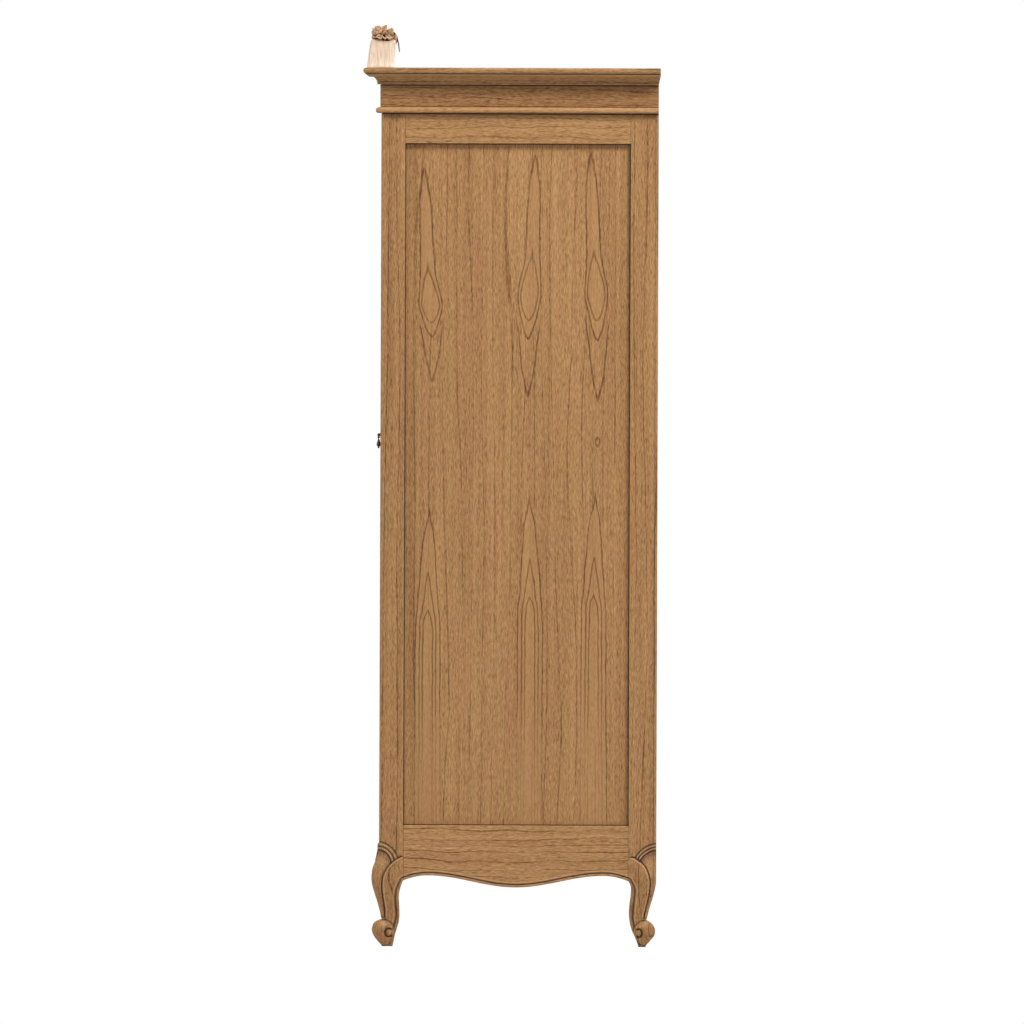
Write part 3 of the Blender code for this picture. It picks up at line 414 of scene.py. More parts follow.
def wood(
    name, axis, colours=TAN, waviness=0.004, rings=60, lines=0.38, columns=(), across="Y",
    tone=0, stretch=None, wax_lines=(), wax=WAX_AND_SHADE_COLOUR, hollow=HOLLOW,
):
    """Wood with its grain along an axis, and any columns of arches across another.

    A column is its middle, lean, height over the ridge, squeeze towards its middle and the
    strength of its knot. A line of wax and painted shade is the axis it lies across, its place,
    its reach on each side and its thickness. Wax and painted shade also lie in every hollow, but
    not against the floor.
    """
    material, tree, shader = new_material(name)
    place, parts = grain_position(tree, axis, stretch)
    inputs = (place, waviness, rings, lines)
    shade, pores = tree.add("Group", inputs, ("Shade", "Pores"), node_tree=GRAIN)
    shade = shade + tone
    for column in columns:
        inputs = (place, parts["XYZ".index(across)], parts[2], *column)
        line, inside = tree.add("Group", inputs, ("Line", "Inside"), node_tree=ARCHES)
        shade = shade - (shade - CALM_SHADE) * inside * CALM_SHARE - line * ARCH_DARKNESS
        pores = pores | line
    hue = tree.noise(place, *HUE_SWINGS) * HUE_RANGE + (0.5 - HUE_RANGE / 2)
    colour = tree.add("HueSaturation", {"Hue": hue, "Color": tree.ramp(shade, colours)})

    # Sharp open edges and the lip values are lightened with wear and painted highlights
    edge, turn = tree.edge(0.0016)
    open_share = tree.add("AmbientOcclusion", {"Distance": hollow[0]}, "AO", samples=8)
    worn_and_lit = tree.spread(turn, 0.985, 0.8) * tree.spread(open_share, 0.88, 1)
    worn_and_lit = worn_and_lit | tree.add("Attribute", give="Fac", attribute_name=LIP_WEAR_AND_HIGHLIGHT)
    colour = tree.mix(worn_and_lit * WEAR_AND_HIGHLIGHT_COVER, colour, WORN_AND_LIT)
    # Wax and painted shade from ambient occlusion darken hollows, but not near the floor
    wax_and_shade_share = tree.spread(open_share, hollow[1], 0.42) * tree.spread(parts[2], 0.002, 0.006)
    wax_and_shade_share = wax_and_shade_share | tree.add("Attribute", give="Fac", attribute_name=GROOVE_WAX_AND_SHADE)
    for line_axis, line_place, reach, thickness in wax_lines:
        away = abs(parts["XYZ".index(line_axis)] - line_place)
        wax_and_shade_share = wax_and_shade_share | tree.spread(away, reach, reach * 0.35, 0, thickness)
    bump = {"Height": pores, "Normal": edge, "Strength": 0.35, "Distance": 0.0003}
    inputs = {
        "Base Color": tree.mix(wax_and_shade_share * WAX_AND_SHADE_COVER, colour, wax),
        "Roughness": pores * 0.16 + 0.52,
        "Specular IOR Level": 0.25,
        "Normal": tree.add("Bump", bump, invert=True),
    }
    tree.fill(shader, inputs)
    return material


def metal(name, dark, bright, roughness, rubbed):
    """Metal with a patchy dark surface that is rubbed bright on its edges."""
    material, tree, shader = new_material(name)
    place = tree.add("TexCoord", give="Object")
    patches = tree.noise(place, 240, 240, 3)
    fine = tree.noise(place, 900, 900, 2)
    edge, turn = tree.edge(0.0008)
    bright_share = tree.spread(patches, 0.35, 0.75, 0, 0.55)
    bright_share = bright_share + tree.spread(turn, 0.99, 0.85) * rubbed
    bump = {"Height": fine, "Normal": edge, "Strength": 0.2, "Distance": 0.0002}
    inputs = {
        "Base Color": tree.mix(bright_share, dark, bright),
        "Roughness": patches * 0.25 + roughness,
        "Metallic": 0.9,
        "Normal": tree.add("Bump", bump),
    }
    tree.fill(shader, inputs)
    return material


BRONZE = metal("dark_bronze", linear(62, 43, 28), linear(126, 94, 60), 0.38, 0.6)
STEEL = metal("worn_steel", linear(104, 98, 90), linear(176, 170, 160), 0.32, 0.5)


def eased(share):
    """A share cut to 0 and 1, with a soft start and end."""
    share = np.clip(share, 0, 1)
    return share * share * (3 - 2 * share)


def smooth_line(*knots):
    """A smooth curve through (place, value) knots in millimetres, as a function of metres."""
    place, value = mm(*knots).T
    slope = np.gradient(value, place)

    def at(where):
        index = np.clip(np.searchsorted(place, where) - 1, 0, len(place) - 2)
        span = place[index + 1] - place[index]
        share = np.clip((where - place[index]) / span, 0, 1)
        start = share * (1 - share) ** 2 * span * slope[index]
        end = share**2 * (1 - share) * span * slope[index + 1]
        level = value[index] + (value[index + 1] - value[index]) * eased(share)
        return level + start - end

    return at


def bump_at(distance, half_width):
    """A smooth swelling, 1 where the distance is 0 and 0 past its half width."""
    return eased(1 - np.abs(distance) / half_width)


def step_up(value, low, high):
    return eased((value - low) / (high - low))


def loft(rings, looped=False):
    """Points and faces of a skin over closed rings, capped at its ends or joined into a loop."""
    rings = np.asarray(rings)
    count, around, _ = rings.shape
    first = np.arange(count if looped else count - 1)[:, None] * around
    second = (first + around) % (count * around)
    here = np.arange(around)[None, :]
    after = (here + 1) % around
    faces = np.stack([first + here, first + after, second + after, second + here], axis=-1)
    faces = faces.reshape(-1, 4).tolist()
    if not looped:
        faces.append(list(range(around))[::-1])
        faces.append([(count - 1) * around + index for index in range(around)])
    return rings.reshape(-1, 3), faces


def joined(shells):
    """Points and faces of several closed skins as one."""
    points = []
    faces = []
    for part_points, part_faces in shells:
        faces += [[index + len(points) for index in face] for face in part_faces]
        points += np.asarray(part_points).tolist()
    return points, faces


def piece(node, kind, skin, material, body="carcass", values=None):
    """A piece in place of a node, from its points and faces, with its normals turned outwards."""
    points, faces = skin
    name = f"{node}_{kind}"
    mesh = bpy.data.meshes.new(name)
    mesh.from_pydata(np.asarray(points).tolist(), [], faces)
    form = bmesh.new()
    form.from_mesh(mesh)
    bmesh.ops.recalc_face_normals(form, faces=form.faces)
    form.to_mesh(mesh)
    form.free()
    mesh.shade_smooth()
    mesh.set_sharp_from_angle(angle=SMOOTH_ANGLE)
    mesh.materials.append(material)
    for value_name, numbers in (values or {}).items():
        attribute = mesh.attributes.new(value_name, "FLOAT", "POINT")
        attribute.data.foreach_set("value", np.asarray(numbers, np.float32).ravel())
    thing = new_object(name, mesh)
    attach(thing, body)
    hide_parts(node)
    return thing


# The posts' widths in the tables' millimetres
POST = 1000 * POST_WIDTH
BACK_POST = 1000 * BACK_POST_DEPTH

# A leg seen from its side: (height, distance in from the post's outer face)
LEG_OUTER = smooth_line(
    (0, 8.8), (1.2, 7), (3, 5.4), (10.3, -1.6), (20.8, -8.8), (31.1, -13), (41.6, -13),
    (49, -9.8), (54, -3), (57.5, 5.4), (62.6, 5.4), (80, 1.9), (97.2, -3.4), (114.7, -9.3),
    (132.1, -14), (146.2, -15.3), (161.7, -13.9), (177.5, -8.3), (191.3, -3), (201.8, -0.4),
    (210, 0), (221.5, 0), (230, 0),
)
LEG_CORNER = smooth_line(
    (0, 6), (10, 11), (30, 18), (48, 15), (56.5, 7), (80, 9), (114.5, 15), (142, 21), (165, 22),
    (185, 17), (200, 10), (221.5, 6), (230, 6),
)
LEG_INNER = smooth_line(
    (0, 29), (6.7, 30.6), (24.2, 34.2), (38.2, 38.4), (55.4, 42.8), (69.5, 43.6), (86.9, 42.9),
    (106.1, 42.3), (120, 44.5), (129.5, 47.5), (137.5, POST), (146.5, POST), (230, POST),
)
BACK_LEG_INNER = smooth_line(
    (0, 37), (5, 38.5), (17.6, 42.9), (33, 50), (52, 55.3), (69.5, 57), (86.9, 56.3), (107, 53.7),
    (116.5, 52.9), (125.8, 53.4), (133, 55.5), (137.5, BACK_POST), (146.5, BACK_POST),
    (230, BACK_POST),
)
BACK_LEG_OUTER = smooth_line(
    (0, 24.2), (1.2, 22.6), (3, 21), (5.9, 18.6), (10.5, 14.2), (16.2, 9.8), (20.9, 6.2),
    (26.5, 3.6), (32.1, 2.8), (37.7, 3), (43.4, 4.8), (49, 8.8), (54, 14.8), (57.5, 20),
    (60, 20.4), (65.9, 19.1), (76.2, 16.7), (86.5, 13.7), (95.9, 10.5), (107.1, 7), (118.4, 4),
    (129.6, 1.6), (140, 0.3), (150, 0), (230, 0),
)

# Where a leg's rounded corner meets its leaf-shaped side, up to the leaf's tip
LEAF_EDGE = smooth_line(
    (57.3, 13.4), (76.4, 13.6), (90.3, 11.6), (107.7, 9), (125.2, 7.3), (136.5, 7.6), (149, 10.4),
    (160.8, 16.3), (173, 25.8), (181.3, 36.2), (186.9, 46.5),
)
LEAF_LOW = 0.0573
LEAF_TIP = 0.1869
BACK_LEAF_EDGE = smooth_line(
    (0, 28), (28.6, 30), (56.5, 27), (65.9, 25.7), (77.1, 23.3), (88.3, 20.4), (99.6, 17.6),
    (110.9, 15.3), (122.1, 13.9), (133.3, 13.4), (144.6, 14.6), (154, 17), (162.4, 20.6),
    (169, 24.5), (174.6, 30), (179.3, 35.6), (184, 42.1), (187.7, 47.8),
)

# The collar over each knee lies between three arcs about one point: the point and their radii
FRONT_COLLAR = ((-0.006, 0.1716), (0.0475, 0.039, 0.0315))
BACK_COLLAR = ((-0.0075, 0.1603), (0.057, 0.0503, 0.044))

# The ball of the scroll at a leg's foot, its crown with a painted highlight, and its eye, seen from
# the side
BALL_MIDDLE = (0.0075, 0.0285)
BALL_RADIUS = 0.0268
BALL_TOP = 0.056
ANKLE = 0.06
CROWN_MIDDLE = (0.0085, 0.047)
EYE_MIDDLE = (0.0212, 0.0286)
EYE_RADIUS = 0.0082
# Middle of the painted highlight on the eye
EYE_HIGHLIGHT_MIDDLE = (0.0232, 0.0286)

# Lower edge of an apron, and the moulding along it: (distance from the edge, height)
APRON_END = 0.1375
APRON_RISE = 0.1487
APRON_SAG = 0.0015
APRON_ROUND = 0.0008
APRON_RUNS = 160
SIDE_SHOULDER = 0.052
FRONT_SHOULDER = 0.085
EDGE_MOULDING = mm(
    (0, -1.6), (0.5, -0.7), (1.3, -0.1), (2.7, 0.1), (4, -0.2), (4.8, -0.8), (5.6, -1.7),
    (6.4, -1.7), (7.2, -0.5), (8.2, 0.1), (9.6, 0.3), (11.4, 0.1), (14, 0),
)
MOULDING_PLACES, MOULDING_HEIGHTS = EDGE_MOULDING.T

# Where the moulding's groove (wax, painted shade) and worn lip (painted highlight) lie, and half their
# widths
MOULDING_GROOVE = 0.006
GROOVE_HALF = 0.0025
MOULDING_LIP = 0.0096
LIP_HALF = 0.0018

# How much wider the moulding is on a leg than on an apron, and where it starts to widen
LEG_MOULDING = 1.25
LEG_MOULDING_TOP = 0.115

# A leg's carving: the leaf's rib, the cut beside it, the collar's bands, and the eye's cut
RIB_HEIGHT = 0.0014
CUT_DEPTH = 0.0024
BAND_HEIGHT = 0.0032
EYE_DEPTH = 0.0042


def distance_to(across, up, line):
    """The least distance from each place to a line's closely spaced points."""
    return np.hypot(across[..., None] - line[:, 0], up[..., None] - line[:, 1]).min(axis=-1)


def away_from(middle, across, up):
    """How far places seen from the side are from a middle."""
    return np.hypot(across - middle[0], up - middle[1])


def leg_edge_line():
    """The inner edge of a leg, from the floor up and on along the apron, as close points."""
    height = np.linspace(-0.004, APRON_END, 260)
    run = np.linspace(0, SIDE_SHOULDER, 60)
    share = 1 - run / SIDE_SHOULDER
    low = APRON_RISE - (APRON_RISE - APRON_END) * share**2
    leg = np.column_stack([LEG_INNER(height), height])
    return np.concatenate([leg, np.column_stack([POST_WIDTH + run, low])])


def leg_relief(across, up, collar):
    """A leg's carving at places seen from its side: how far it stands out, its wax and painted shade,
    and its wear and painted highlights.
    """
    wider = 1 + (LEG_MOULDING - 1) * step_up(-up, -APRON_END, -LEG_MOULDING_TOP)
    away = distance_to(across, up, leg_edge_line()) / wider
    relief = np.interp(away, MOULDING_PLACES, MOULDING_HEIGHTS)
    # Wax and painted shade in the moulding's groove, and wear with a painted highlight on its lip
    wax = [bump_at(away - MOULDING_GROOVE, GROOVE_HALF) * step_up(up, 0.022, 0.032)]
    wear_and_highlight = [0.8 * bump_at(away - MOULDING_LIP, LIP_HALF)]

    # The leaf's raised edge, with a cut beside it: wax and painted shade in the cut, wear and a
    # painted highlight on the edge
    height = np.linspace(LEAF_LOW, LEAF_TIP, 240)
    away = distance_to(across, up, np.column_stack([LEAF_EDGE(height), height]))
    in_leaf = (across > LEAF_EDGE(up)) & (up < LEAF_TIP)
    away = np.where(in_leaf, away, -away)
    fade = step_up(up, 0.056, 0.062)
    relief += fade * RIB_HEIGHT * bump_at(away - 0.0018, 0.003)
    relief -= fade * CUT_DEPTH * bump_at(away + 0.0014, 0.0026)
    wax.append(fade * bump_at(away + 0.0014, GROOVE_HALF))
    wear_and_highlight.append(fade * bump_at(away - 0.0022, LIP_HALF))

    # The collar's two bands, with wax and painted shade at their edges and painted highlights along
    # their middles, and painted shade with dirt under them
    centre, (outer, middle, inner) = collar
    radius = away_from(centre, across, up)
    on_collar = ~in_leaf & (up > centre[1]) & (across < POST_WIDTH - 0.004)
    bands = -RIB_HEIGHT * (bump_at(radius - outer, 0.0016) + bump_at(radius - inner, 0.0018))
    wax += [on_collar * bump_at(radius - edge, 0.0028) for edge in (outer, middle, inner)]
    for high, low in ((outer, middle), (middle, inner)):
        share = np.clip((radius - low) / (high - low), 0, 1)
        bands += BAND_HEIGHT * np.sqrt(np.clip(np.sin(pi * share), 0, 1))
        wear_and_highlight.append(on_collar * 0.3 * bump_at(radius - (high + low) / 2, 0.0022))
    relief += on_collar * bands
    under = ~in_leaf & (radius < inner) & (up > centre[1] - 0.006)
    wax.append(under * 0.52 * step_up(radius, inner - 0.022, inner))

    # The ball's rim, with a painted shadow round its top, and its crown with a painted highlight. No
    # wax or painted shade from above lies on the ball
    ball = away_from(BALL_MIDDLE, across, up)
    in_ball = (ball < BALL_RADIUS) & (up < BALL_TOP)
    rim = bump_at(ball - BALL_RADIUS - 0.0006, 0.0036) * step_up(across, 0.002, 0.01)
    wax = [~in_ball * np.maximum.reduce(wax), 0.7 * rim * step_up(up, 0.03, 0.042)]
    wear_and_highlight.append(0.55 * in_ball * bump_at(away_from(CROWN_MIDDLE, across, up), 0.0085))

    # The scroll's eye, with a cut round it that opens towards the leg's inner side; wax and painted
    # shade fill the cut, and a painted highlight lies on the eye
    eye = away_from(EYE_MIDDLE, across, up)
    closed = 1 - step_up((across - EYE_MIDDLE[0]) / np.maximum(eye, 1e-6), 0.5, 0.9)
    relief -= EYE_DEPTH * bump_at(eye - EYE_RADIUS, 0.0034) * closed
    relief += 0.0014 * bump_at(eye, EYE_RADIUS * 0.9)
    relief += 0.001 * bump_at(eye - EYE_RADIUS * 1.7, 0.0045) * closed
    wax.append(bump_at(eye - EYE_RADIUS, 0.0036) * closed)
    wear_and_highlight.append(0.6 * bump_at(away_from(EYE_HIGHLIGHT_MIDDLE, across, up), 0.005))
    groove_wax_and_shade, lip_wear_and_highlight = np.maximum.reduce(wax), np.maximum.reduce(wear_and_highlight)
    return relief, groove_wax_and_shade, lip_wear_and_highlight * (groove_wax_and_shade < 0.5)


# A leg's sections: points round the corner and along a face, and runs of heights with their counts
CORNER_POINTS = 16
FACE_POINTS = 48
LEG_PARTS = ((0, 0.05, 48), (0.0507, 0.059, 13), (0.0608, 0.16, 56), (0.1611, 0.226, 60))
LEG_HEIGHTS = np.hstack([*(np.linspace(*part) for part in LEG_PARTS), BODY_TOP])

# The post's rounded corner towards the inside
INNER_CORNER = 0.006
INNER_STEPS = 5

# How far a faint scratched line on the back posts lies from their back
BACK_POST_LINE = 0.0062

# How light the posts are, and how many rings lie in a metre of them
POST_TONE = -0.08
POST_RINGS = 45


def leg_half(collar):
    """Half of every section of a leg, from the corner's middle to the inner edge, with its
    carving: places across its side, places out from it, wax and painted shade, and wear and painted
    highlights."""
    height = LEG_HEIGHTS[:, None]
    outer, corner, inner = (line(height) for line in (LEG_OUTER, LEG_CORNER, LEG_INNER))
    centre = outer + corner
    turn = np.linspace(pi / 4, 0, CORNER_POINTS)[None, :]
    share = np.linspace(0, 1, FACE_POINTS + 1)[None, 1:]
    face_across = centre + (inner - centre) * share
    ankle = float(LEG_OUTER(np.array(ANKLE)))
    flat = np.where(height < ANKLE, ankle, np.maximum(outer, 0))
    ease = np.where(height < ANKLE, np.minimum(share / 0.2, 1), share**1.3)
    face_out = outer + (flat - outer) * ease
    ball = away_from(BALL_MIDDLE, face_across, height) / BALL_RADIUS
    corner_ball = away_from(BALL_MIDDLE, centre, height) / BALL_RADIUS
    dome = np.sqrt(np.clip(1 - ball**2, 0, 1) / np.clip(1 - corner_ball**2, 0.1, 1))
    foot_out = ankle + (outer - ankle) * np.minimum(dome, 1.1)
    face_out = foot_out + (face_out - foot_out) * step_up(height, BALL_TOP - 0.002, ANKLE)
    across = np.hstack([centre - corner * np.sin(turn), face_across])
    out = np.hstack([centre - corner * np.cos(turn), face_out])
    aside_across = np.hstack([-np.sin(turn) + 0 * corner, 0 * face_across])
    aside_out = np.hstack([-np.cos(turn) + 0 * corner, 0 * face_out - 1])
    relief, groove_wax_and_shade, lip_wear_and_highlight = leg_relief(across, height + 0 * across, collar)
    return across + aside_across * relief, out + aside_out * relief, groove_wax_and_shade, lip_wear_and_highlight


def leg_rings(at_back):
    """Every section of a leg: distances in from the side and from the front or back face."""
    across, out, *values = leg_half(BACK_COLLAR if at_back else FRONT_COLLAR)
    from_lines = (LEG_OUTER, LEAF_EDGE, LEG_INNER)
    to_lines = (BACK_LEG_OUTER, BACK_LEAF_EDGE, BACK_LEG_INNER)
    moved_from, moved_to = (
        np.column_stack([line(LEG_HEIGHTS) for line in lines]) for lines in (from_lines, to_lines)
    )
    turn = np.linspace(0, pi / 2, INNER_STEPS)
    plain = np.zeros((len(LEG_HEIGHTS), INNER_STEPS))
    values = [np.hstack([value[:, ::-1], value[:, 1:], plain]) for value in values]
    rings = []
    for row, height in enumerate(LEG_HEIGHTS):
        side = np.column_stack([out[row], across[row]])
        corner = moved_from[row, 2] - INNER_CORNER
        corner = corner + INNER_CORNER * np.column_stack([np.sin(turn), np.cos(turn)])
        ring = np.concatenate([side[::-1], side[1:, ::-1], corner[::-1]])
        if at_back:
            move = np.interp(ring[:, 1], moved_from[row], moved_to[row] - moved_from[row])
            ring[:, 1] = np.maximum(ring[:, 1] + move, 0)
        rings.append(np.column_stack([ring, np.full(len(ring), height)]))
    return np.array(rings), dict(zip((GROOVE_WAX_AND_SHADE, LIP_WEAR_AND_HIGHLIGHT), values))


def legs():
    for at_back, end_name in ((False, "front"), (True, "back")):
        rings, values = leg_rings(at_back)
        for side, side_name in SIDES:
            node = f"{side_name}_{end_name}_post"
            placed = rings.copy()
            placed[..., 0] = side * (SIDE_X - rings[..., 0])
            placed[..., 1] = BACK_Y - rings[..., 1] if at_back else FRONT_Y + rings[..., 1]
            # Painted shadow along the post's top under the bead and painted shade at its foot; back
            # posts also get a dark joint line
            wax = [("Z", BODY_TOP, *SHADOW_UNDER_MOULDING), ("Z", 0, *SOLE_SHADE)]
            if at_back:
                wax.append(("Y", BACK_Y - BACK_POST_LINE, *JOINT_WAX))
            material = wood(node, "Z", waviness=0.003, rings=POST_RINGS, tone=POST_TONE, wax_lines=wax)
            piece(node, "carved", loft(placed), material, values=values)


def apron_low(run, length, lowest, shoulder):
    """The height of an apron's lower edge at a distance along it."""
    from_middle = np.abs(run - length / 2)
    reach = length / 2 - shoulder
    share = np.clip((from_middle - reach) / shoulder, 0, 1)
    shoulder_height = APRON_RISE - (APRON_RISE - APRON_END) * share**2
    drop = (1 + np.cos(pi * np.clip(from_middle / reach, 0, 1))) / 2
    return shoulder_height - (APRON_RISE - lowest) * drop


def apron(node, axis, start, finish, outer, inner, lowest, shoulder):
    """An apron along an axis between its outer and inner face, with its moulded lower edge."""
    run = np.linspace(0, finish - start, APRON_RUNS)
    lows = apron_low(run, finish - start, lowest, shoulder)
    leans = 1 / np.sqrt(1 + np.gradient(lows, run) ** 2)
    outwards = np.sign(outer - inner)
    rings = []
    for along, low, lean in zip(start + run, lows, leans):
        section = [(outer + height * outwards, low + away / lean) for away, height in EDGE_MOULDING]
        section.append((outer, APRON_TOP - APRON_ROUND))
        section.append((outer - APRON_ROUND * outwards, APRON_TOP))
        section.append((inner, APRON_TOP))
        section.append((inner, low))
        rings.append(
            [(depth, along, up) if axis == "Y" else (along, depth, up) for depth, up in section]
        )
    # Wax and painted shade in the moulding's groove, wear and a painted highlight on its lip
    values = {}
    lines = ((GROOVE_WAX_AND_SHADE, MOULDING_GROOVE, GROOVE_HALF), (LIP_WEAR_AND_HIGHLIGHT, MOULDING_LIP, LIP_HALF))
    for value_name, middle, half in lines:
        value = np.zeros((APRON_RUNS, len(section)))
        value[:, : len(EDGE_MOULDING)] = bump_at(MOULDING_PLACES - middle, half)
        values[value_name] = value
    wax = [(axis, end, *APRON_END_WAX) for end in (start, finish)]
    material = wood(node, axis, waviness=0.012, lines=BOARD_LINES, wax_lines=wax)
    piece(node, "carved", loft(rings), material, values=values)


def aprons():
    for side, side_name in SIDES:
        node = f"{side_name}_side_apron"
        faces = (side * SIDE_X, side * FRAME_BACK_X)
        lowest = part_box(node)[0].z - APRON_SAG
        apron(node, "Y", SIDE_FRONT_Y, SIDE_BACK_Y, *faces, lowest, SIDE_SHOULDER)
    low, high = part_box("front_apron")
    apron("front_apron", "X", low.x, high.x, low.y, high.y, low.z, FRONT_SHOULDER)


# Mouldings of the cornice: (how far it stands out past the body, height above its own bottom)
BEAD_PROFILE = mm(
    (7.2, 0), (9.2, 0.6), (10.8, 2), (11.7, 3.8), (12, 5.7), (11.7, 7.7), (10.6, 9.7),
    (8.7, 11.4), (6.4, 12.5), (5, 13),
)
ROOF_PROFILE = mm(
    (35.2, 0), (36.6, 1.4), (37.8, 3), (38.4, 4.8), (38.6, 6.6), (38.5, 8.4), (37.8, 10),
    (36.1, 11.4), (33.8, 12.1), (30, 12.5),
)
COVE_FOOT = mm((4, 0), (8.6, 0.4), (9.2, 1), (9.2, 4))
COVE_HEAD = mm(
    (16.2, 15.5), (16.8, 15.9), (25.8, 16), (27, 16.6), (29, 18.1), (32.4, 20.8), (34.2, 22.1),
    (34.6, 22.7),
)
# How much painted highlight lies on each point of the cove's head
COVE_HEAD_HIGHLIGHT = (0, 0, 0, 0, 0.2, 0.7, 0.7, 0.2)
COVE_STEPS = 12
COVE_BEND = 1.7

# Each piece goes this far into its neighbour, behind the faces that show
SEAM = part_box("top_board")[0].z - BODY_TOP
BEAD_SEAT = -0.002
ROOF_SEAT = 0.0342
CREST_SEAT = 0.02
FRIEZE_BACK = -0.0175
FRIEZE_SEAT = 0.0005
ROOF_BACK_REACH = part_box("roof_board")[1].y - BACK_Y

# How light or dark each moulding is: the cove darker with painted shade under the roof, the bead
# lighter with painted light
COVE_PAINTED_SHADE = -0.15
ROOF_TONE = -0.08
BEAD_PAINTED_LIGHT = 0.06


def moulded_board(node, profile, back_reach, seat_below, seat_above, tone):
    """A board whose front and side edges are moulded, with its grain along each edge. A low seat
    under it and over it, this far out, meets its neighbours behind their faces."""
    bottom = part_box(node)[0].z
    top = profile[-1][1]
    below = ((seat_below, -SEAM), (seat_below, 0))
    above = ((seat_above, top), (seat_above, top + SEAM))
    rings = []
    for reach, height in (*below, *profile, *above):
        x = SIDE_X + reach
        front = FRONT_Y - reach
        back = BACK_Y + back_reach
        corners = ((-x, front), (x, front), (x, back), (-x, back))
        rings.append([(*corner, bottom + height) for corner in corners])
    # A painted shadow along the board's underside
    finish = {"tone": tone, "wax_lines": [("Z", bottom, *QUIRK_SHADOW)]}
    board = piece(node, "moulded", loft(rings), wood(f"{node}_front", "X", **finish))
    board.data.materials.append(wood(f"{node}_side", "Y", **finish))
    for face in board.data.polygons:
        if abs(face.center.x) > SIDE_X:
            face.material_index = 1


def coves():
    """The hollow mouldings under the roof, mitred at the front corners."""
    (foot, low), (head, high) = COVE_FOOT[-1], COVE_HEAD[0]
    top = COVE_HEAD[-1][1]
    share = np.linspace(0, 1, COVE_STEPS)[1:-1]
    hollow = np.column_stack([foot + (head - foot) * share**COVE_BEND, low + (high - low) * share])
    seat = ((FRIEZE_BACK, -SEAM), (FRIEZE_SEAT, -SEAM), (FRIEZE_SEAT, 0))
    profile = [*seat, *COVE_FOOT, *hollow, *COVE_HEAD, (FRIEZE_BACK, top)]
    reach, height = np.array(profile).T
    worn_and_lit = np.zeros((2, len(profile)))
    worn_and_lit[:, -1 - len(COVE_HEAD) : -1] = COVE_HEAD_HIGHLIGHT
    back_end = BACK_Y + ROOF_BACK_REACH * step_up(height, 0, top)
    for side, side_name in (SIDES[0], (0, "front"), SIDES[1]):
        node = f"{side_name}_cove"
        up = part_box(node)[0].z + height
        if side:
            ends = [(side * (SIDE_X + reach), along) for along in (FRONT_Y - reach, back_end)]
        else:
            ends = [(end * (SIDE_X + reach), FRONT_Y - reach) for end in (-1, 1)]
        rings = [np.column_stack([x, y, up]) for x, y in ends]
        # A painted shadow along the cove's top, under the roof
        wax = [("Z", up[-1], *QUIRK_SHADOW)]
        axis = "Y" if side else "X"
        material = wood(node, axis, tone=COVE_PAINTED_SHADE, wax_lines=wax)
        piece(node, "moulded", loft(rings), material, values={LIP_WEAR_AND_HIGHLIGHT: worn_and_lit})


# The crest: its outline from the front, and how far its faces lean
CREST_LOW, CREST_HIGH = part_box("crest_board")
CREST_HALF = CREST_HIGH.x
CREST_BOTTOM = CREST_LOW.z
CREST_HEIGHT = CREST_HIGH.z - CREST_BOTTOM
CREST_END_HEIGHT = 0.0015
CREST_STEPS = 96
CREST_FRONT = -0.3052
CREST_FRONT_LEAN = 0.0082
CREST_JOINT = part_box("crest_moulding")[1].y
CREST_BACK = -0.2483
CREST_BACK_LEAN = 0.0043

# Its carved edges: (drop below the top, distance in from the face), in full where it is this high
CREST_EDGE_FULL = 0.034
CREST_FRONT_EDGE = mm(
    (15.5, 0), (14.7, 1), (13.5, 1.6), (12.3, 1), (11.5, 0.1), (8.5, -0.3), (5, 0.1), (2.5, 1),
    (0.8, 2.6), (0, 4.8),
)
CREST_BACK_EDGE = mm((0, 4), (0.6, 1.8), (2.2, 0.4), (4.5, 0))

# The crest's wood, pale and painted paler still, has long soft streaks along it: how its grain is
# stretched
CREST_STRETCH = (0.7, 0.045, 0.12)


def crest():
    """The crest's moulding and the board behind it, swelling from low ends to a round middle."""
    across = np.linspace(-CREST_HALF, CREST_HALF, CREST_STEPS)
    swell = (1 + np.cos(pi * across / CREST_HALF)) / 2
    top = CREST_END_HEIGHT + (CREST_HEIGHT - CREST_END_HEIGHT) * swell
    size = np.clip(top / CREST_EDGE_FULL, 0, 1)

    def edge(rows, face, lean, inwards):
        for drop, aside in rows:
            up = top - drop * size
            yield face + lean * up / CREST_HEIGHT + inwards * aside * size, up

    floor = 0 * top - SEAM
    joint = CREST_JOINT + 0 * top
    moulding = [
        (CREST_FRONT + 0 * top, floor),
        *edge(CREST_FRONT_EDGE, CREST_FRONT, CREST_FRONT_LEAN, 1),
        (joint, top),
        (joint, floor),
    ]
    board = [
        (joint, floor),
        (joint, top),
        *edge(CREST_BACK_EDGE, CREST_BACK, CREST_BACK_LEAN, -1),
        (CREST_BACK + 0 * top, floor),
    ]
    finish = {"waviness": 0.002, "rings": 90, "lines": 0.3, "stretch": CREST_STRETCH}
    for node, section in (("crest_moulding", moulding), ("crest_board", board)):
        places = [np.column_stack([across, y, CREST_BOTTOM + up]) for y, up in section]
        material = wood(node, "X", PALE_AND_LIT, hollow=CREST_HOLLOW, **finish)
        piece(node, "carved", loft(np.stack(places, axis=1)), material)


# Petals and leaves: how many steps each has along it and across it
PETAL_STEPS = 16
PETAL_POINTS = 9


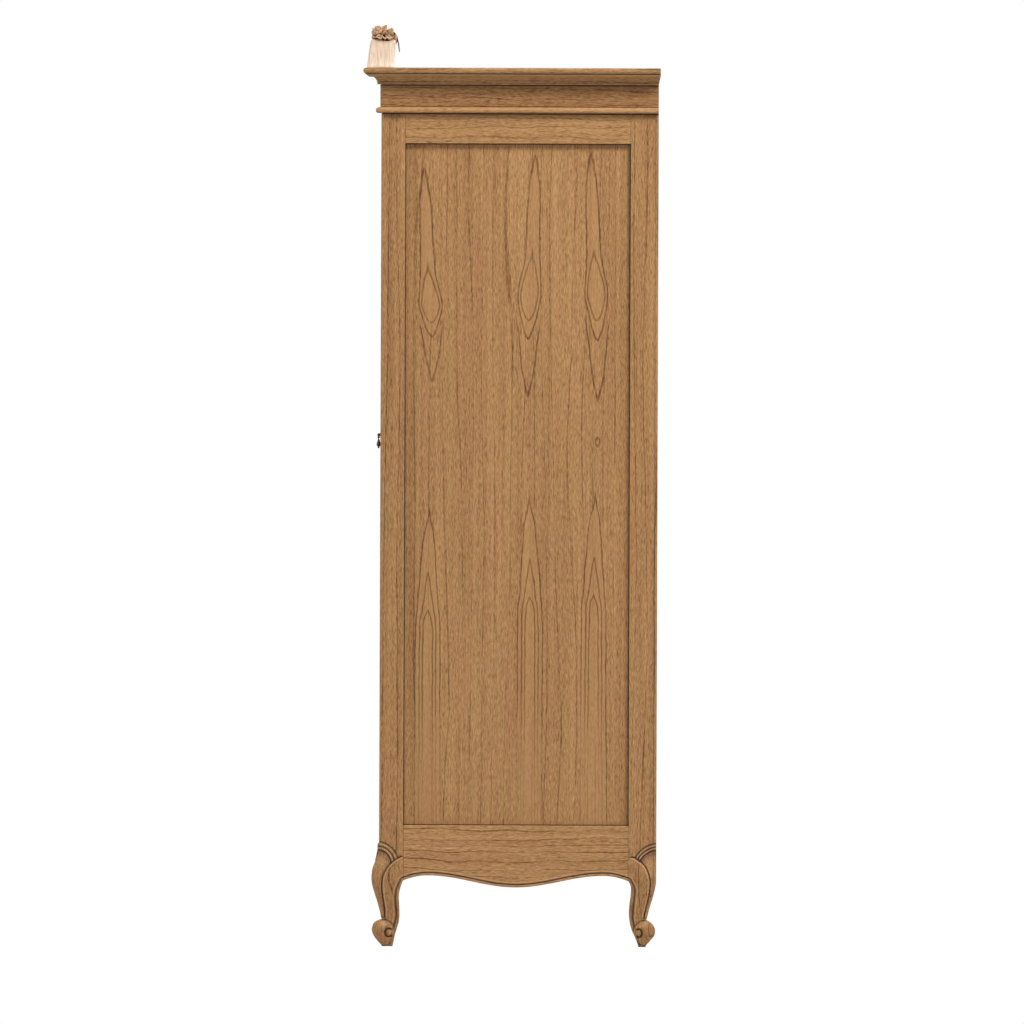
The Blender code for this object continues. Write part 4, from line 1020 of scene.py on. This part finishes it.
def petal(base, bend, tip, out, width, cup, fullness=0.8, thickness=0.0026):
    """A cupped leaf from its base past its bend to its tip, hollow towards out, as a closed skin."""
    across = np.cross(tip - base, out)
    across = across / np.linalg.norm(across)
    side = np.linspace(-1, 1, PETAL_POINTS)
    body = np.sqrt(1 - side**2) * thickness / 2
    vein = 0.4 * thickness * bump_at(side, 0.3)
    rings = []
    for share in np.linspace(0.02, 0.985, PETAL_STEPS):
        middle = (1 - share) ** 2 * base + 2 * share * (1 - share) * bend + share**2 * tip
        along = (1 - share) * (bend - base) + share * (tip - bend)
        normal = np.cross(across, along)
        normal = normal / np.linalg.norm(normal)
        half = width / 2 * np.sin(pi * share**fullness) ** 0.6
        lift = cup * side**2 * (half * 2 / width)
        thin = min(1, half / thickness)
        spread = middle + np.outer(side * half, across)
        upper = spread + np.outer(lift + (body - vein) * thin, normal)
        lower = spread + np.outer(lift - body * thin, normal)
        rings.append(np.concatenate([upper, lower[-2:0:-1]]))
    return loft(rings)


ROUND_STEPS = 24


def turned(profile, axis, pivot):
    """Rings round an axis through a pivot, from (place along the axis, radius) pairs."""
    turn = np.linspace(0, 2 * pi, ROUND_STEPS, endpoint=False)
    rings = []
    for place, radius in profile:
        ring = [radius * np.cos(turn), radius * np.sin(turn)]
        ring.insert(0 if axis == "X" else 2, np.full(ROUND_STEPS, place))
        rings.append(pivot + np.column_stack(ring))
    return np.array(rings)


def mound(middle, radii):
    """A rounded solid body that leaves grow from."""
    turn = np.linspace(-pi / 2 + 0.05, pi / 2 - 0.05, 14)
    ball = turned(np.column_stack([np.sin(turn), np.cos(turn)]), "Z", 0)
    return loft(middle + ball * radii)


# The rose stands on the crest: its foot, the way it points, how far out its petals start, how far
# below their bend, and how full they are. Each row of petals is a count, the reach and height of
# their bend, the reach and height of their tips, and their width and cup
ROSE_FOOT = np.array((0, -0.279, 1.903))
ROSE_UP = np.array((0, -0.16, 0.987))
ROSE_CORE = 0.003
ROSE_DROP = 0.008
ROSE_FULLNESS = 1.25
ROSE_ROWS = (
    (5, 19, 0.5, 13, 10.8, 21, 3),
    (5, 16.8, 11, 12.4, 20.5, 17, 4),
    (4, 12.5, 15, 9.4, 26.5, 15, 3.6),
    (3, 8, 19, 5, 29, 11.5, 3),
    (2, 3, 20, 1.2, 27.5, 8, 2.6),
)

# Leaves: base, bend, tip, the way the leaf's hollow faces, width and cup. A leaf that starts at
# one side has a twin at the other, and the last two hang over the back
LEAVES = (
    ((4, -274, 1902), (13, -273.5, 1918), (12, -264, 1933.4), (0.85, -0.35, 0.15), 18, 2.6),
    ((6, -260, 1902), (15, -259, 1915), (13, -251.4, 1926.4), (0.85, -0.15, 0.3), 20, 2.6),
    ((8, -268, 1902), (19, -269, 1910), (20, -264, 1920), (0.85, -0.3, 0.3), 18, 2.6),
    ((6, -253, 1902), (16, -248, 1912), (12, -242, 1908), (0.75, 0.35, 0.5), 20, 2.6),
    ((6, -278, 1905), (30, -278, 1911.5), (58, -275.5, 1903), (0.1, -0.45, 0.9), 16, 3),
    ((4, -269, 1903), (34, -269, 1913.5), (57, -267.5, 1902.5), (0.1, 0.05, 1), 16, 2.6),
    ((6, -262, 1904), (30, -260, 1913), (56, -259, 1902), (0.1, 0.25, 0.95), 20, 3),
    ((0, -260, 1917), (0, -248, 1923), (0, -239.8, 1902), (0, 0.6, 0.8), 30, 2),
    ((0, -247, 1912), (0, -238.5, 1903), (0, -237, 1875.3), (0, 1, 0.15), 15, 1),
)

# The rounded bodies they grow from: middle and radii
MOUNDS = (
    mm((0, -280, 1910), (8.5, 8.5, 13)),
    mm((0, -264, 1903), (20, 20, 15)),
    mm((0, -252, 1903), (16, 11, 15)),
)


def carving():
    """The rose on the crest, with leaves round it and two that hang over the back."""
    shells = [mound(middle, radii) for middle, radii in MOUNDS]
    aside = np.array((1, 0, 0))
    ahead = np.cross(ROSE_UP, aside)
    for row, (count, *sizes) in enumerate(ROSE_ROWS):
        bend_out, bend_up, tip_out, tip_up, width, cup = mm(*sizes)
        for number in range(count):
            turn = 2 * pi * (number + row / 2) / count
            ray = cos(turn) * aside + sin(turn) * ahead
            start = (ROSE_CORE, max(0, bend_up - ROSE_DROP))
            places = (start, (bend_out, bend_up), (tip_out, tip_up))
            points = (ROSE_FOOT + ray * out + ROSE_UP * up for out, up in places)
            shells.append(petal(*points, -ray, width, cup, ROSE_FULLNESS))
    for base, bend, tip, out, *sizes in LEAVES:
        for side in (-1, 1) if base[0] else (1,):
            mirror = np.array((side, 1, 1))
            shells.append(petal(*(mm(base, bend, tip) * mirror), out * mirror, *mm(*sizes)))
    # The carving's hollows hold more wax and painted shade
    finish = {"rings": POST_RINGS, "wax": CARVED_WAX_AND_SHADE, "hollow": CARVED_HOLLOW}
    material = wood("crest_carving", "Z", CARVED, **finish)
    piece("crest_carving", "leaves", joined(shells), material)


# Moulding round a door panel: (distance in from its edge, how far it stands out)
PANEL_MOULDING = mm(
    (0, 0), (8.2, 0), (8.4, 4.5), (9, 5.6), (10.2, 6.3), (12, 6.6), (13.8, 6.2), (15.4, 5.2),
    (16.6, 3.8), (17.6, 2.7), (18.8, 2), (20.4, 1.7), (22, 1.7), (22.6, 1.4), (22.9, 0.4),
    (46, 0), (46.4, 0.8), (47.6, 1.2), (54, 2), (62, 3.2), (68, 3.9), (70, 4),
)
PANEL_FIELD_RISE = 0.004
PANEL_MOULDING_WIDTH = 0.023


def panel_ring(low, high, inset, y):
    """A rectangle in a panel's box, this far in from its edges."""
    left, right = low.x + inset, high.x - inset
    bottom, top = low.z + inset, high.z - inset
    return [(left, y, bottom), (right, y, bottom), (right, y, top), (left, y, top)]


def door_panel(side, side_name):
    """A door's panel: a moulding round it, a hollow border and a raised field."""
    node = f"{side_name}_door_panel"
    low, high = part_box(node)
    face = low.y + PANEL_FIELD_RISE
    rings = [panel_ring(low, high, inset, face - rise) for inset, rise in PANEL_MOULDING]
    rings.insert(0, panel_ring(low, high, 0, high.y))
    columns = [(side * middle, *column) for middle, *column in DOOR_COLUMNS]
    material = wood(node, "Z", waviness=PANEL_WAVINESS, rings=PANEL_RINGS, columns=columns, across="X")
    panel = piece(node, "moulded", loft(rings), material, f"{side_name}_door")
    panel.data.materials.append(wood(f"{node}_rails", "X"))
    for polygon in panel.data.polygons:
        middle = polygon.center
        from_end = min(middle.z - low.z, high.z - middle.z)
        from_side = min(middle.x - low.x, high.x - middle.x)
        if from_end < min(PANEL_MOULDING_WIDTH, from_side):
            polygon.material_index = 1


# Pulls: half width of the plate by height, and the drop's radius by depth below its pin
PLATE_OUTLINE = smooth_line(
    (0, 0.6), (2, 2.2), (6, 4), (10, 7.2), (14, 8), (19, 5.6), (26, 6), (33, 8.6), (39, 10),
    (44, 7.8), (47, 4.6), (50, 2.4), (52, 0.6),
)
DROP_PROFILE = smooth_line(
    (1.8, 1.4), (3.4, 1.5), (4.6, 2.9), (5.8, 2.9), (7, 1.4), (10, 1.8), (15, 3.2), (19.5, 4.2),
    (23, 3.8), (25, 2), (26.2, 1.8), (27.6, 1.9), (28.5, 0.3),
)
DROP_START = 0.0018

# The plate's thickness across it: how far out it stands, from one edge to the other
PLATE_EDGE = 0.0009
PLATE_OUT = mm(0, 1, 1.7, 2, 1.7, 1, 0)

# The drop's eye round the pin: (place along the pin, radius), with the hole at the end
DROP_EYE = mm(
    (-3, 1.8), (-2.7, 2.6), (-1.8, 3), (1.8, 3), (2.7, 2.6), (3, 1.8), (2.6, 1.45), (-2.6, 1.45)
)

# The plate's two ears, and the pin between them: (place along it, radius)
EAR_SIDES = (0.0038, 0.0054)
EAR_RADIUS = 0.003
EAR_FOOT = 0.0042
EAR_SINK = 0.001
PIN = mm((-6, 0.6), (-5.4, 1.1), (5.4, 1.1), (6, 0.6))


def pulls():
    """Each pull: a shaped plate with two ears and a pin, and the turned drop that hangs on it."""
    for _, side_name in SIDES:
        node = f"{side_name}_pull_plate"
        drop_node = f"{side_name}_pull_drop"
        low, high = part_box(node)
        drop_low, drop_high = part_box(drop_node)
        middle, back = (low.x + high.x) / 2, high.y
        pivot = np.array((middle, low.y + EAR_RADIUS, drop_high.z - EAR_RADIUS))
        rings = []
        for height in np.linspace(0, high.z - low.z, 53):
            half = float(PLATE_OUTLINE(height))
            flat = half - min(half * 0.4, PLATE_EDGE)
            x = middle + np.array([-half, -half, -flat, 0, flat, half, half])
            rings.append(np.column_stack([x, back - PLATE_OUT, np.full(len(x), low.z + height)]))
        shells = [loft(rings)]
        turn = np.linspace(-pi / 2, pi / 2, 13)
        foot = back - EAR_SINK
        y = [foot, *(pivot[1] - EAR_RADIUS * np.cos(turn)), foot]
        z = pivot[2] + np.array([-EAR_FOOT, *(EAR_RADIUS * np.sin(turn)), EAR_FOOT])
        for side in (-1, 1):
            ends = [np.column_stack([np.full(len(y), middle + side * out), y, z]) for out in EAR_SIDES]
            shells.append(loft(ends))
        shells.append(loft(turned(PIN, "X", pivot)))
        piece(node, "shaped", joined(shells), BRONZE, f"{side_name}_door")

        eye = turned(DROP_EYE, "X", pivot).transpose(1, 0, 2)
        depths = np.linspace(DROP_START, pivot[2] - drop_low.z, 60)
        drop = turned(np.column_stack([-depths, DROP_PROFILE(depths)]), "Z", pivot)
        skin = joined([loft(eye, looped=True), loft(drop)])
        piece(drop_node, "turned", skin, BRONZE, f"{side_name}_pull")


# Columns of arches on the panels: middle, lean, rise, squeeze and knot
SIDE_COLUMNS = (
    (-0.1838, 0.0179, -0.028, 0.06, 0),
    (0.049, -0.0143, 0, 0, 0.6),
    (0.1654, 0.0164, 0.004, -0.012, 1),
)
DOOR_COLUMNS = (
    (0.152, 0.012, -0.06, 0.03, 0),
    (0.256, -0.014, 0.02, 0, 0.8),
    (0.362, 0.015, -0.11, 0.04, 0),
)
BACK_COLUMNS = (
    (-0.4, 0.014, 0.06, 0, 0),
    (-0.13, -0.016, -0.12, 0.05, 0.6),
    (0.15, 0.015, 0.02, -0.02, 0),
    (0.41, -0.012, -0.07, 0.03, 0.8),
)

# Which way the grain of each plain board runs, and its waviness. A board's whole name goes first
PLAIN_BOARDS = {
    "front_frieze": ("X", 0.008), "side_rail": ("Y", 0.012), "frieze": ("Y", 0.01),
    "stile": ("Z", 0.003), "shelf_cleat": ("Y", 0.004), "hanging_rail": ("X", 0.002),
    "door_top_rail": ("X", 0.008), "door_bottom_rail": ("X", 0.008),
    "front_top_rail": ("X", 0.008),
}
OTHER_BOARDS = ("X", 0.006)
STEEL_NAMES = ("hinge_post", "door_leaf", "bolt", "door_catch")

# How light or dark some boards are, and how strong their ring lines are
# The friezes are darkened with painted shade under the cornice
FRIEZE_PAINTED_SHADE = -0.22
PANEL_TONE = -0.04
PANEL_LINES = 0.34
PANEL_WAVINESS = 0.002
PANEL_RINGS = 38
QUIET_LINES = 0.28
BOARD_LINES = 0.46


def board_wood(node):
    """The wood of a board that keeps the shape it has in the model."""
    panel = {"waviness": PANEL_WAVINESS, "rings": PANEL_RINGS}
    if node.endswith("side_panel"):
        edges = (("Y", SIDE_FRONT_Y), ("Y", SIDE_BACK_Y), ("Z", APRON_TOP), ("Z", RAIL_LOW.z))
        # Painted shade along the edges of the side panel's recess
        wax = [(*edge, *PANEL_EDGE_SHADE) for edge in edges]
        panel.update(lines=PANEL_LINES, tone=PANEL_TONE, columns=SIDE_COLUMNS, wax_lines=wax)
        return wood(node, "Z", **panel)
    if node == "back_panel":
        return wood(node, "Z", columns=BACK_COLUMNS, across="X", **panel)
    kinds = (kind for name, kind in PLAIN_BOARDS.items() if node.endswith(name))
    axis, waviness = next(kinds, OTHER_BOARDS)
    tone = FRIEZE_PAINTED_SHADE if node.endswith("frieze") else 0
    lines = QUIET_LINES if node.endswith(("frieze", "side_rail")) else BOARD_LINES
    wax = []
    # Painted shadow along the tops of friezes and rails, under the mouldings
    if node.endswith(("frieze", "side_rail", "front_top_rail")):
        wax.append(("Z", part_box(node)[1].z, *SHADOW_UNDER_MOULDING))
    return wood(node, axis, waviness=waviness, lines=lines, tone=tone, wax_lines=wax)


def paint_all():
    """Every node of the model that still shows gets its finish."""
    for node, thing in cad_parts.items():
        if thing.hide_render:
            continue
        if any(name in node for name in STEEL_NAMES):
            material, slot = STEEL, "steel"
        elif "pull" in node:
            material, slot = BRONZE, "bronze"
        else:
            material, slot = board_wood(node), "wood"
        thing.data.materials.clear()
        thing.data.materials.append(material)


def lamp(name, place, target, size, energy):
    light = bpy.data.lights.new(name, "AREA")
    light.shape = "SQUARE"
    light.size = size
    light.energy = energy
    thing = new_object(name, light)
    thing.location = place
    thing.rotation_euler = (Vector(target) - Vector(place)).to_track_quat("-Z", "Y").to_euler()


# The room's light, the floor's own glow, its reach, and what the lamps point at
AMBIENT = 0.32
FLOOR_GLOW = 0.62
FLOOR_REACH = 14
LIT_MIDDLE = (0.3, 0, 1.1)
WHITE = (1, 1, 1, 1)
CAMERA_RAY = "Is Camera Ray"


def studio():
    """A white room with soft lamps, and a pale floor that keeps the shadow."""
    world = bpy.data.worlds.new("room")
    world.use_nodes = True
    bpy.context.scene.world = world
    tree = Tree(world.node_tree)
    rays = (CAMERA_RAY, "Is Glossy Ray", "Is Transmission Ray")
    seen, glossy, through = tree.add("LightPath", give=rays)
    strength = (seen | glossy | through) * (1 - AMBIENT) + AMBIENT
    tree.fill(world.node_tree.nodes["Background"], {"Color": WHITE, "Strength": strength})

    mesh = bpy.data.meshes.new("floor")
    corners = [(x * FLOOR_REACH, y * FLOOR_REACH, 0) for x, y in ((-1, -1), (1, -1), (1, 1), (-1, 1))]
    mesh.from_pydata(corners, [], [(0, 1, 2, 3)])
    floor = new_object("floor", mesh)
    material, tree, shader = new_material("floor")
    inputs = {
        "Base Color": (0.8, 0.8, 0.8, 1),
        "Roughness": 0.9,
        "Emission Color": WHITE,
        "Emission Strength": tree.add("LightPath", give=CAMERA_RAY) * FLOOR_GLOW,
    }
    tree.fill(shader, inputs)
    mesh.materials.append(material)

    lamp("key", (3.2, 2.2, 5.2), LIT_MIDDLE, 1.6, 252)
    lamp("front", (1.6, -4.2, 3.8), LIT_MIDDLE, 1.8, 105)
    lamp("far_side", (-4.2, 0.5, 3.2), LIT_MIDDLE, 2, 90)


def camera():
    """The photograph's view: straight at the right side, with parallel lines kept parallel."""
    data = bpy.data.cameras.new("camera")
    data.type = "ORTHO"
    data.ortho_scale = VIEW_WIDTH
    thing = new_object("camera", data)
    thing.location = (SIDE_X + VIEW_DISTANCE, *VIEW_MIDDLE)
    level = Vector((-1, 0, 0)).to_track_quat("-Z", "Y")
    thing.rotation_euler = (level @ Euler((0, 0, VIEW_ROLL)).to_quaternion()).to_euler()
    bpy.context.scene.camera = thing


bpy.context.scene.view_settings.view_transform = "Standard"
camera()
studio()
legs()
aprons()
moulded_board("top_board", BEAD_PROFILE, 0, BEAD_SEAT, FRIEZE_SEAT, BEAD_PAINTED_LIGHT)
moulded_board("roof_board", ROOF_PROFILE, ROOF_BACK_REACH, ROOF_SEAT, CREST_SEAT, ROOF_TONE)
coves()
crest()
carving()
for side, side_name in SIDES:
    door_panel(side, side_name)
pulls()
paint_all()
